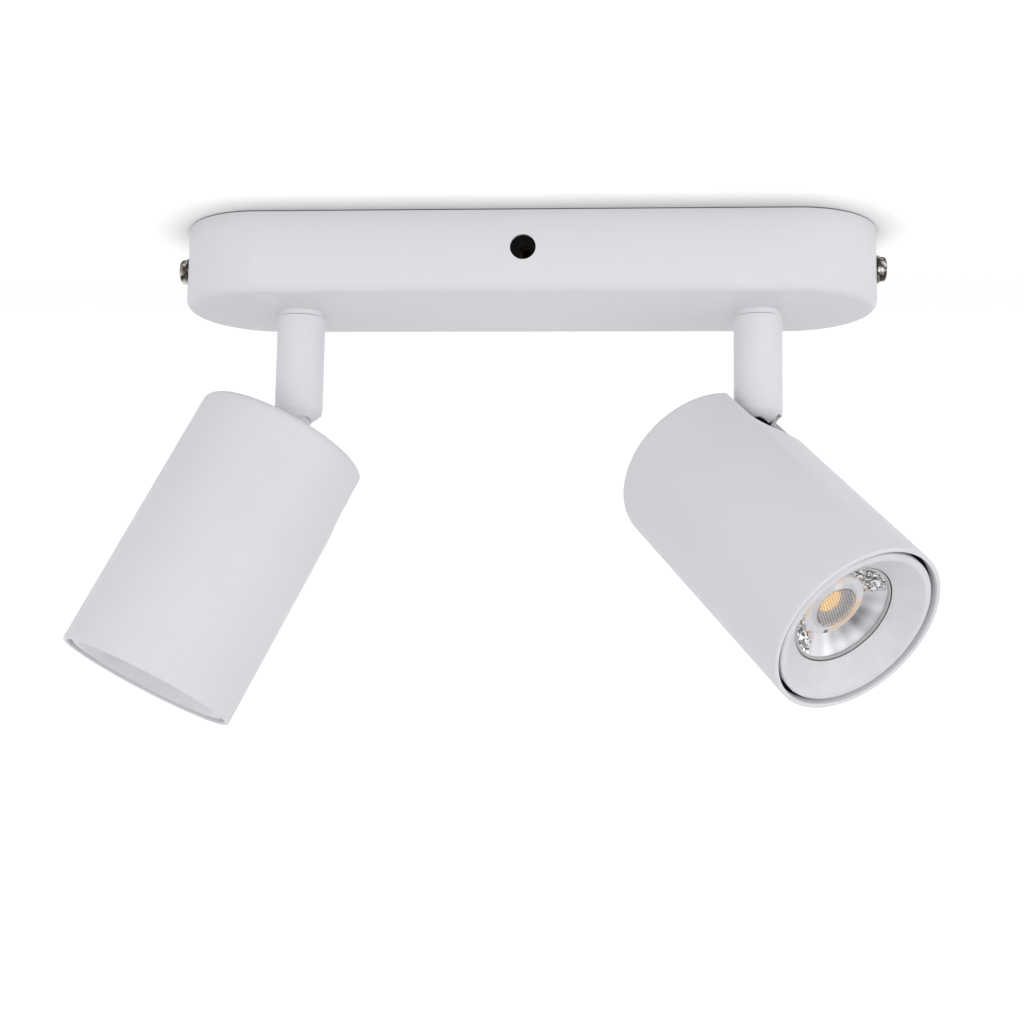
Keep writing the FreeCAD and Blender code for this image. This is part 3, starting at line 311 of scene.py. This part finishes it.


# Bar cover: drawn from 1.2 mm steel sheet with round ends, and powder coated white. The coat
# is matt, with a fine orange peel, and a painted highlight makes it brighter on the edges.
def powder_coat(name, colour):
    """White powder coat: fine orange peel, uneven gloss, a trace of shade in the colour and a painted highlight
    on the edges.
    """
    coat, tree, shader, place = principled(name)
    cloud = noise(tree, place, 28.0, 4.0)
    shade = ramp(tree, cloud, ((0.35, [c * 0.978 for c in colour]), (0.65, colour)))
    # Painted highlight: the colour turns lighter where the surface is sharply curved, on the edges.
    pointed = add(tree, "NewGeometry", {}).outputs["Pointiness"]
    edge_highlight_painted = span(tree, pointed, 0.0, 1.0, start=0.50, end=0.58)
    edge_colour = (*(min(c * 1.05, 0.9) for c in colour), 1)
    brighter = add(tree, "Mix", {0: edge_highlight_painted, 6: shade, 7: edge_colour}, data_type="RGBA")
    peel = noise(tree, place, 900.0)
    grit = add(tree, "TexVoronoi", {"Vector": place, "Scale": 1700.0}).outputs["Distance"]
    relief = add(tree, "Math", {0: grit, 1: 0.35, 2: peel}, operation="MULTIPLY_ADD")
    put(tree, shader, {"Specular IOR Level": 0.42, "Base Color": brighter.outputs[2],
                       "Roughness": span(tree, peel, 0.40, 0.54),
                       "Normal": bumps(tree, relief.outputs[0], 0.22, 0.00003)})
    return coat


white_coat = powder_coat("white_powder_coat", (0.80, 0.79, 0.83))

# The cover's inside is painted dark as shade, so that the cable hole reads dark; it is told from
# the coated outside by how far a point lies inside the outer surface. The border runs within the sheet's
# thickness.
border_depth = 1.0
cover_coat = white_coat.copy()
cover_coat.name = "cover_coat_shaded_inside"
cover_tree = cover_coat.node_tree
cover_shader = cover_tree.nodes["Principled BSDF"]
place_in_bar = add(cover_tree, "TexCoord", {}).outputs["Object"]
axes = add(cover_tree, "SeparateXYZ", {0: place_in_bar}).outputs


def reckon(operation, first, second=0.0):
    """One arithmetic node of the cover's mask."""
    return add(cover_tree, "Math", {0: first, 1: second}, operation=operation).outputs[0]


half_straight = (BAR_LENGTH - BAR_WIDTH) / 2 * mm
past_straight = reckon("MAXIMUM", reckon("SUBTRACT", reckon("ABSOLUTE", axes[0]), half_straight))
from_line = reckon("SQRT", reckon("ADD", reckon("MULTIPLY", past_straight, past_straight),
                              reckon("MULTIPLY", axes[1], axes[1])))
inside_wall = reckon("LESS_THAN", from_line, (BAR_WIDTH / 2 - border_depth) * mm)
above_sheet = reckon("GREATER_THAN", axes[2], (border_depth - BAR_HEIGHT) * mm)
painted_dark_inside = reckon("MULTIPLY", inside_wall, above_sheet)
outside_colour = cover_shader.inputs["Base Color"].links[0].from_socket
# Painted shade: the inside takes a near-black colour.
two_sides = add(cover_tree, "Mix", {0: painted_dark_inside, 6: outside_colour, 7: (0.045, 0.045, 0.048, 1)}, data_type="RGBA")
put(cover_tree, cover_shader, {"Base Color": two_sides.outputs[2]})
finish(["base_cover"], cover_coat)


# End screws: two nickel plated pan head screws and their washers, one at each round end, hold
# the cover on the strip's flanges. The heads are pressed, with a cross recess.
def turned_piece(name, corners, sides=96, ring=False):
    """A round piece about Z in millimetres: a circle drawn out through its half profile's corners."""
    bpy.ops.object.select_all(action="DESELECT")
    radius, height = corners[0]
    bpy.ops.mesh.primitive_circle_add(vertices=sides, radius=radius, location=(0, 0, height),
                                      fill_type="NOTHING" if ring else "NGON")
    piece = bpy.context.object
    piece.name = name
    bpy.ops.object.transform_apply(location=True, rotation=False, scale=False)
    bpy.ops.object.mode_set(mode="EDIT")
    bpy.ops.mesh.select_all(action="SELECT")
    for radius_next, height_next in corners[1:]:
        bpy.ops.mesh.extrude_edges_move()
        widen = radius_next / radius
        bpy.ops.transform.resize(value=(widen, widen, 1), center_override=(0, 0, 0))
        bpy.ops.transform.translate(value=(0, 0, height_next - height))
        radius, height = radius_next, height_next
    if not ring:
        bpy.ops.mesh.edge_face_add()
    bpy.ops.mesh.select_all(action="SELECT")
    bpy.ops.mesh.remove_doubles(threshold=0.0005)
    bpy.ops.mesh.normals_make_consistent(inside=False)
    bpy.ops.object.mode_set(mode="OBJECT")
    return piece


def arc(centre, radius, first, last, steps):
    """Corners of a quarter round, or less, about a centre in the half profile."""
    return [(centre[0] + radius * math.cos(math.radians(first + (last - first) * step / steps)),
             centre[1] + radius * math.sin(math.radians(first + (last - first) * step / steps)))
            for step in range(steps + 1)]


def with_modifier(piece, kind, **settings):
    """Put a modifier on a piece and apply it."""
    select_only(piece)
    change = piece.modifiers.new(kind.lower(), kind)
    for setting, value in settings.items():
        setattr(change, setting, value)
    bpy.ops.object.modifier_apply(modifier=change.name)


def cut_away(piece, cutter):
    """Cut one piece out of another."""
    with_modifier(piece, "BOOLEAN", object=cutter, operation="DIFFERENCE", solver="EXACT")
    bpy.data.objects.remove(cutter, do_unlink=True)


def broken_edges(piece, width, sharper_than):
    """Break the edges that turn by more than an angle in degrees."""
    with_modifier(piece, "BEVEL", width=width, segments=2, limit_method="ANGLE",
                  angle_limit=math.radians(sharper_than))


def fit(piece, place, body, slot, material, *stands_for, smooth=32):
    """Bring a piece made in millimetres to its place, and give it its body, finish and CAD node."""
    select_only(piece)
    if smooth is not None:
        bpy.ops.object.shade_smooth_by_angle(angle=math.radians(smooth))
    piece.data.transform(place @ Matrix.Scale(mm, 4))
    if material is not None:
        piece.data.materials.clear()
        piece.data.materials.append(material)
    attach(piece, body)
    if stands_for:
        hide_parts(*stands_for)


def pan_screw(name, head, height, thread, length):
    """Pan head screw along -Z: domed head with a rolled edge, cross recess, and a pointed thread."""
    tip, point, rolled = 0.02, 0.5, 0.35
    dome = [(head / 2 * math.cos(math.radians(a)) ** 0.4, height * (0.5 + 0.5 * math.sin(math.radians(a))))
            for a in (0, 15, 30, 45, 60, 75)]
    screw = turned_piece(name, [(tip, -length), (thread / 2 - point, -length), (thread / 2, 0.6 - length),
                                (thread / 2, 0), (head / 2 - rolled, 0)]
                         + arc((head / 2 - rolled, rolled), rolled, -90, 0, 4) + dome + [(tip, height)], 64)
    for turn in (0, 90):
        bpy.ops.object.select_all(action="DESELECT")
        bpy.ops.mesh.primitive_cube_add(size=1, location=(0, 0, height))
        blade = bpy.context.object
        blade.data.transform(Matrix.Rotation(math.radians(turn), 4, "Z")
                             @ Matrix.Diagonal((head * 0.56, head * 0.12, height * 1.1, 1)))
        bpy.ops.object.transform_apply(location=True, rotation=False, scale=False)
        cut_away(screw, blade)
    broken_edges(screw, 0.06, 50)
    return screw


# Painted reflections: the nickel's clouds run from near black to the full tint, for the dark and bright things
# it mirrors.
nickel = plated("nickel_painted_reflections", (0.72, 0.67, 0.63), (900, 900, 900), dark=(0.045, 0.038, 0.034),
                stops=(0.46, 0.66), cloud=520.0, gloss=(0.10, 0.22), coat=0.2)
for side, sign in SIGNS.items():
    end = (Matrix.Translation((sign * BAR_LENGTH / 2 * mm, 0, -SIDE_DROP * mm))
           @ Matrix.Rotation(sign * math.pi / 2, 4, "Y"))
    washer = turned_piece("end_washer_" + side,
                          [(2.1, 0.12), (2.25, 0), (4.65, 0), (4.8, 0.15), (4.8, 0.85), (4.65, WASHER_HEIGHT),
                           (2.25, WASHER_HEIGHT), (2.1, 0.88), (2.1, 0.12)], 96, ring=True)
    fit(washer, end, "base", "nickel", nickel, "cover_washers")
    screw = pan_screw("end_screw_" + side, 8.6, 2.6, 4.0, 8.0)
    fit(screw, end @ Matrix.Translation((0, 0, WASHER_HEIGHT * mm)) @ Matrix.Rotation(0.4 * sign, 4, "Z"),
        "base", "nickel", nickel, "cover_screws")

# Nipples: hollow threaded steel tubes that carry the arms, each clamped through the bar's lower
# sheet by a nut and a toothed lock washer. The thread shows as fine rings.
threaded = plated("rolled_thread", (0.70, 0.71, 0.72), (300, 300, 300))
thread_tree = threaded.node_tree
thread_place = add(thread_tree, "TexCoord", {}).outputs["Object"]
rings = add(thread_tree, "TexWave", {"Vector": thread_place, "Scale": 320.0}, bands_direction="Z")
put(thread_tree, thread_tree.nodes["Principled BSDF"],
    {"Normal": bumps(thread_tree, rings.outputs["Fac"], 0.8, 0.0002)})
finish(["nipples"], threaded)
finish(["nipple_nuts", "arm_nuts", "nipple_lock_washers"], bright_screw)

# Arms: turned tubes, powder coated like the bar, on a thin collar. Each turns on a nylon insert,
# with a friction washer, and has a slot in its domed end for the ball's neck.
spring_steel = plated("spring_steel", (0.42, 0.42, 0.44), (900, 900, 900))
finish(["arm_collars", "arm_left", "arm_right"], white_coat)
for side in SIGNS:
    finish(["arm_insert_" + side, "friction_washer_" + side, "ball_seat_" + side], white_nylon)
    finish(["disc_springs_" + side, "snap_ring_" + side], spring_steel)

# Links: a ball stud, painted with the lamp, held in the arm by the seat and its springs, and
# the steel eye on its end that takes the hinge pin inside the head.
BALL_RADIUS, NECK_RADIUS, STUD_BORE, STUD_END = 5.8, 3.3, 1.5, -23.0
# Angles at rest, in degrees: arm about its own axis, ball's swing, ball's twist, head on its pin
rest_angles = {"left": (27.5, 27.1, 0.0, 0.0), "right": (-8.5, 20.1, -35.2, -67.0)}
# Height about the ball's centre up to which each stud is painted
paint_top = {"left": 1.0, "right": -4.72}
# Painted reflections: the polished ball's clouds run from near black to bright.
polished = plated("polished_ball_painted_reflections", (0.86, 0.86, 0.88), (100, 100, 100), dark=(0.03, 0.03, 0.032),
                  stops=(0.47, 0.56), cloud=330.0, gloss=(0.05, 0.12))
link_place, head_place = {}, {}
for side, sign in SIGNS.items():
    pan, tilt, twist, nod = (math.radians(angle) for angle in rest_angles[side])
    link_place[side] = (Matrix.Translation((sign * ARM_OFFSET * mm, 0, -PIVOT_DROP * mm))
                        @ Matrix.Rotation(pan, 4, "Z") @ Matrix.Rotation(tilt, 4, "Y")
                        @ Matrix.Rotation(twist, 4, "Z"))
    head_place[side] = (link_place[side] @ Matrix.Translation((0, 0, -LINK_LENGTH * mm))
                        @ Matrix.Rotation(nod, 4, "Y"))
    thread = [(STUD_BORE, STUD_END + 0.1), (1.6, STUD_END), (2.2, STUD_END),
              (2.5, STUD_END + 0.3), (2.5, -18.1)]
    neck = [(3.0, -18), (NECK_RADIUS, -17.7), (NECK_RADIUS, -6.3), (3.4, -5.5)]
    ball = arc((0, 0), BALL_RADIUS, -54, 74, 28)
    stud = turned_piece("link_stud_" + side,
                        thread + neck + ball + [(STUD_BORE, 5.5), (STUD_BORE, STUD_END + 0.1)], 96, ring=True)
    stud.data.materials.append(white_coat)
    stud.data.materials.append(polished)
    for face in stud.data.polygons:
        if face.center.z > paint_top[side]:
            face.material_index = 1
    fit(stud, link_place[side], "link_body_" + side, "white_paint", None, "ball_stud_" + side)
    finish(["link_eye_" + side, "hinge_bracket_" + side, "hinge_pin_" + side], bright_screw)
    finish(["hinge_washers_" + side], white_nylon)

# Head housings: deep drawn steel tubes with a closed rear, slotted for the arm, and coated like
# the bar. The front edge is rounded over and the cut edges are a little broken. Behind the
# trim ring the inside is painted near black as shade.
REAR_WALL, REAR_EDGE, INNER_EDGE, FRONT_EDGE = 2.0, 2.8, 1.3, 0.5
CENTRE_HOLE, TRIM_END, BAND_END = 0.05, -71.5, -9.0
bore_painted_shade = moulded("housing_inside_painted_shade", (0.075, 0.075, 0.08), 0.5)


def box_cutter(middle, size):
    """Block that cuts a slot."""
    bpy.ops.object.select_all(action="DESELECT")
    bpy.ops.mesh.primitive_cube_add(size=1, location=middle)
    bpy.context.object.scale = size
    return bpy.context.object


def round_cutter(middle, radius, depth, sides, turned=(0, 0, 0)):
    """Cylinder that cuts a hole or a round slot end."""
    bpy.ops.mesh.primitive_cylinder_add(vertices=sides, radius=radius, depth=depth, location=middle,
                                        rotation=turned)
    return bpy.context.object


for side in SIGNS:
    outer_edge = arc((HEAD_RADIUS - REAR_EDGE, HEAD_REAR - REAR_EDGE), REAR_EDGE, 90, 0, 10)
    rim_level = HEAD_FRONT + FRONT_EDGE
    rim = (arc((HEAD_RADIUS - FRONT_EDGE, rim_level), FRONT_EDGE, 0, -90, 4)
           + arc((HEAD_BORE + FRONT_EDGE, rim_level), FRONT_EDGE, -90, -180, 4))
    inner_level = HEAD_REAR - REAR_WALL
    inner_edge = arc((HEAD_BORE - INNER_EDGE, inner_level - INNER_EDGE), INNER_EDGE, 0, 90, 6)
    housing = turned_piece("head_shell_" + side,
                           [(CENTRE_HOLE, HEAD_REAR)] + outer_edge + [(HEAD_RADIUS, BAND_END)] + rim
                           + [(HEAD_BORE, TRIM_END), (HEAD_BORE, BAND_END)] + inner_edge
                           + [(CENTRE_HOLE, inner_level)], 160)
    # The arm's slot with its round end, the neck's slot with its round end, and the two screw holes
    wall_middle = HEAD_REAR - REAR_WALL / 2
    slot_round = HEAD_REAR - ARM_SLOT_DEPTH + ARM_SLOT_WIDTH / 2
    cutters = [box_cutter((25.0, 0, slot_round + 15.0), (30.0, ARM_SLOT_WIDTH, 30.0)),
               round_cutter((25.0, 0, slot_round), ARM_SLOT_WIDTH / 2, 30.0, 96, (0, math.pi / 2, 0)),
               box_cutter((6.0, 0, wall_middle), (12.0, NECK_SLOT_WIDTH, 6.0)),
               round_cutter((0, 0, wall_middle), NECK_SLOT_WIDTH / 2, 6.0, 64),
               round_cutter((0, REAR_SCREW_OFFSET, wall_middle), 1.6, 6.0, 64),
               round_cutter((0, -REAR_SCREW_OFFSET, wall_middle), 1.6, 6.0, 64)]
    for cutter in cutters:
        select_only(cutter)
        bpy.ops.object.transform_apply(location=True, rotation=True, scale=True)
        cut_away(housing, cutter)
    broken_edges(housing, 0.25, 60)
    housing.data.materials.append(white_coat)
    housing.data.materials.append(bore_painted_shade)
    # Painted shade: faces of the bore behind the trim and of the inner rear wall take the near-black colour.
    for face in housing.data.polygons:
        away, level = math.hypot(face.center.x, face.center.y), face.center.z
        in_bore = TRIM_END < level < 18.1 and 26.5 < away < 28.6 and abs(face.normal.z) < 0.999
        if in_bore or 17.9 < level < 18.1:
            face.material_index = 1
    bpy.ops.object.shade_smooth_by_angle(angle=math.radians(40))
    with_modifier(housing, "WEIGHTED_NORMAL", weight=100, keep_sharp=True)
    fit(housing, head_place[side], "head_body_" + side, "white_paint", None, "head_housing_" + side,
        smooth=None)

# Rear screws: two small pan head screws through the head's rear wall into the hinge bracket's
# feet, painted over with the head.
for side in SIGNS:
    for number, offset in ((1, REAR_SCREW_OFFSET), (2, -REAR_SCREW_OFFSET)):
        screw = pan_screw("rear_screw_%s_%d" % (side, number), 5.6, 1.6, 3.0, 5.0)
        fit(screw, head_place[side] @ Matrix.Translation((0, offset * mm, HEAD_REAR * mm)), "head_body_" + side,
            "white_paint", white_coat, "rear_screws_" + side)

# Lamp holder and lamp: a ceramic holder with twist-and-lock pin holes, screwed to the bracket's
# plate, and a reflector lamp with its board and chip behind the front lens.
glazed = moulded("fired_ceramic", (0.80, 0.78, 0.72), 0.35, coat=0.3)
shell = plated("lamp_shell_coat", (0.50, 0.50, 0.51), (300, 300, 300))
board = moulded("white_board", (0.82, 0.82, 0.80), 0.35)
phosphor = moulded("phosphor_gel", (1.0, 0.62, 0.10), 0.25, coat=0.5)
# Painted glow: the chip glows although the lamp is not lit, which brightens its warm colour in the recess.
put(phosphor.node_tree, phosphor.node_tree.nodes["Principled BSDF"],
    {"Emission Color": (1.0, 0.54, 0.08, 1), "Emission Strength": 1.15})
lamp_finish = {"lamp_holder_": glazed, "holder_screws_": bright_screw, "lamp_body_": shell,
               "lamp_pins_": nickel, "led_board_": board, "led_chip_": phosphor}
for side in SIGNS:
    for piece, material in lamp_finish.items():
        finish([piece + side], material)


# Front optic: a clear moulded lens, thick and greenish at its rim, with a silvery cone that is
# cracked into facets on two sides, a smooth well, and a honeycomb of small domes over the chip.
def clear_plastic(name, colour, see, roughness, edge_see=0.4):
    """Clear plastic with a faint haze: light goes through it, less where it is seen edge-on."""
    plastic, tree, shader, place = principled(name)
    edge_on = add(tree, "LayerWeight", {"Blend": 0.35}).outputs["Facing"]
    put(tree, shader, {"Base Color": (*colour, 1), "Coat Weight": 0.6, "Coat Roughness": 0.05,
                       "Roughness": span(tree, noise(tree, place, 400.0), roughness, roughness + 0.08),
                       "Alpha": span(tree, edge_on, 1 - see, 1 - see * edge_see)})
    return plastic


front_glass = clear_plastic("lens_clear_front", (0.90, 0.91, 0.93), 0.99, 0.03, edge_see=0.88)
rim_glass = clear_plastic("lens_rim_glass", (0.66, 0.68, 0.67), 0.50, 0.08)
dome_glass = clear_plastic("lens_dome_glass", (1.0, 1.0, 1.0), 0.66, 0.08)
well_glass = clear_plastic("lens_well_glass", (0.82, 0.82, 0.87), 0.15, 0.12)
# Painted shade: the near-black grooves between the honeycomb's domes.
groove_painted_shade = clear_plastic("lens_groove_painted_shade", (0.10, 0.10, 0.11), 0.40, 0.15)
silvered = plated("silvered_cone", (0.80, 0.80, 0.84), (60, 60, 60))
painted = add(silvered.node_tree, "Attribute", {}, attribute_name="cone_painted_reflection")
put(silvered.node_tree, silvered.node_tree.nodes["Principled BSDF"], {"Base Color": painted.outputs["Color"]})


def cracked_glass(name):
    """Facets of clear plastic over a mirror, with painted reflections: each facet is dark, silvery or bright.
    """
    facets, tree, shader, place = principled(name)
    cells = add(tree, "TexVoronoi", {"Vector": place, "Scale": 1400.0}).outputs["Color"]
    grey = add(tree, "RGBToBW", {"Color": cells}).outputs["Val"]
    # Painted reflections: each cell gets a tone from near black to white.
    tones = ((0.0, (0.03, 0.03, 0.032)), (0.37, (0.24, 0.23, 0.25)),
             (0.46, (0.58, 0.57, 0.60)), (0.58, (1.0, 1.0, 1.0)))
    put(tree, shader, {"Metallic": 0.6, "Roughness": 0.06, "Base Color": ramp(tree, grey, tones, "CONSTANT")})
    return facets


def polar(place):
    """Distance of a point from the lamp's axis, and its direction in degrees."""
    return math.hypot(place.x, place.y), math.degrees(math.atan2(place.y, place.x))


crackle = cracked_glass("cracked_facets")
glint = moulded("warm_glint", (0.97, 0.58, 0.28), 0.25, coat=0.5)
pale_glint = moulded("pale_warm_glint", (0.93, 0.72, 0.55), 0.25, coat=0.5)
mark = moulded("brown_mark", (0.16, 0.10, 0.07), 0.4)
FACET_MIDDLES, FACET_SPREAD, FACET_SHAKE = (8, 214), 32, 0.42
FACET_INNER, FACET_OUTER = 11.2, 16.4
WELL_INNER, WELL_OUTER, WELL_TOP, WELL_FOOT = 7.1, 10.7, -61.6, -62.0
CONE_STEPS = 12
COMB_PITCH, COMB_ROWS, COMB_RADIUS = 1.0, range(-8, 9), 6.6


def from_facets(angle):
    """Angle to the middle of the nearest sector of facets."""
    return min(abs((angle - middle + 180) % 360 - 180) for middle in FACET_MIDDLES)


def six_points(mesh, x, y, radius, level):
    """Corners of a six-sided cell at a level."""
    turns = [math.radians(30 + 60 * k) for k in range(6)]
    return [mesh.verts.new((x + radius * math.cos(turn), y + radius * math.sin(turn), level)) for turn in turns]


for side in SIGNS:
    body = "head_body_" + side
    rim = turned_piece("lens_rim_" + side, arc((17.0, -66.5), 0.55, 0, 360, 16), 128, ring=True)
    fit(rim, head_place[side], body, "lens_glass", rim_glass, "lamp_lens_" + side)
    disc = [(0.05, -66.7), (16.6, -66.7), (16.6, -66.2), (0.05, -66.2)]
    front = turned_piece("lens_front_" + side, disc, 128)
    fit(front, head_place[side], body, "lens_glass", front_glass, "lamp_lens_" + side)
    # The cone is a fine grid, and its points are shaken in two opposite sectors
    slope = [(WELL_OUTER + 6.2 * step / CONE_STEPS, WELL_FOOT - 4.0 * step / CONE_STEPS)
             for step in range(CONE_STEPS + 1)]
    cone = turned_piece("lens_cone_" + side, slope, 120, ring=True)
    shape = bmesh.new()
    shape.from_mesh(cone.data)
    chance = random.Random(7)
    for vertex in shape.verts:
        radius, angle = polar(vertex.co)
        if FACET_INNER < radius < FACET_OUTER and from_facets(angle) < FACET_SPREAD:
            vertex.co += Vector([chance.uniform(-FACET_SHAKE, FACET_SHAKE) for axis in range(3)])
    shape.to_mesh(cone.data)
    shape.free()
    # Painted reflections: the cone's colour is darker beside the well on one side and streaked all round
    cone_painted_reflection = cone.data.color_attributes.new("cone_painted_reflection", "FLOAT_COLOR", "POINT")
    for vertex, colour in zip(cone.data.vertices, cone_painted_reflection.data):
        radius, angle = polar(vertex.co)
        dark_lobe = math.exp(-((angle - 98) / 48) ** 2) * max(0, min(1, (15.0 - radius) / 2.8))
        streak = 0.10 * math.sin(math.radians(angle * 7)) + 0.07 * math.sin(math.radians(angle * 17 + 40))
        grey = max(0.08, 0.78 + streak - 0.47 * dark_lobe)
        colour.color = (grey * 0.965, grey * 0.94, grey, 1)
    for material in (silvered, crackle, glint):
        cone.data.materials.append(material)
    # Painted reflections of the chip: some facets next to the well take the warm glint colour.
    for face in cone.data.polygons:
        radius, angle = polar(face.center)
        if FACET_INNER < radius < FACET_OUTER and from_facets(angle) < FACET_SPREAD - 1:
            face.material_index = 2 if radius < 12.0 and chance.random() < 0.45 else 1
    fit(cone, head_place[side], body, "lens_glass", None, "lamp_lens_" + side, smooth=12)
    # The well: a smooth ring with the chip's warm glints painted in it as reflections, and the edge of the
    # honeycomb
    well_face = [(radius, -62.9 if radius < 7.2 else WELL_FOOT - 0.9 * max(0, 1 - (radius - WELL_INNER) / 1.2))
                 for radius in (WELL_INNER, 7.25, 8.4, 8.8, 9.15, 9.45, 9.8, 10.1, 10.35, WELL_OUTER)]
    well = turned_piece("lens_well_" + side, [(WELL_INNER, -62.2), (WELL_INNER, -63.2)] + well_face
                        + [(WELL_OUTER, WELL_TOP), (WELL_INNER, WELL_TOP), (WELL_INNER, -62.2)], 120, ring=True)
    for material in (well_glass, glint, mark, pale_glint):
        well.data.materials.append(material)
    # Painted reflections of the chip: warm and pale warm bands in the well.
    for face in well.data.polygons:
        radius, angle = polar(face.center)
        if face.center.z >= -61.9:
            continue
        if (9.15 < radius < 9.8 and 62 < angle < 138
                or -135 < angle < -25 and (9.15 < radius < 9.45 or 9.8 < radius < 10.35)):
            face.material_index = 1
        elif 8.4 < radius < 10.35 and 55 < angle < 145:
            face.material_index = 3
        elif radius > 9.45 and 148 < angle < 157:
            face.material_index = 2
    fit(well, head_place[side], body, "lens_glass", None, "lamp_lens_" + side)
    # The honeycomb: rows of six-sided domes, whose sides carry painted shade for the grooves
    combs = bmesh.new()
    for row in COMB_ROWS:
        for column in COMB_ROWS:
            x, y = (column + 0.5 * (row % 2)) * COMB_PITCH, row * COMB_PITCH * 0.866
            if math.hypot(x, y) > COMB_RADIUS:
                continue
            foot = six_points(combs, x, y, COMB_PITCH * 0.577, -63.0)
            brow = six_points(combs, x, y, COMB_PITCH * 0.40, -63.24)
            for k in range(6):
                combs.faces.new((foot[k], foot[(k + 1) % 6], brow[(k + 1) % 6], brow[k]))
            combs.faces.new(brow)
    bmesh.ops.remove_doubles(combs, verts=combs.verts, dist=0.01)
    bmesh.ops.recalc_face_normals(combs, faces=combs.faces)
    comb_mesh = bpy.data.meshes.new("honeycomb")
    combs.to_mesh(comb_mesh)
    combs.free()
    comb_mesh.materials.append(dome_glass)
    comb_mesh.materials.append(groove_painted_shade)
    for face in comb_mesh.polygons:
        face.material_index = 0 if len(face.vertices) == 6 else 1
    honeycomb = bpy.data.objects.new("lens_honeycomb_" + side, comb_mesh)
    bpy.context.collection.objects.link(honeycomb)
    fit(honeycomb, head_place[side], body, "lens_glass", None, "lamp_lens_" + side, smooth=20)

# Trim: a white anti-glare ring with a rounded lip. Its cone closes in on the lamp's face, and
# three spring clips on its skirt hold it in the tube.
satin_white = moulded("trim_satin_white", (0.78, 0.775, 0.81), 0.40)
for side in SIGNS:
    finish(["trim_ring_" + side], satin_white)
    finish(["trim_clips_" + side], spring_steel)
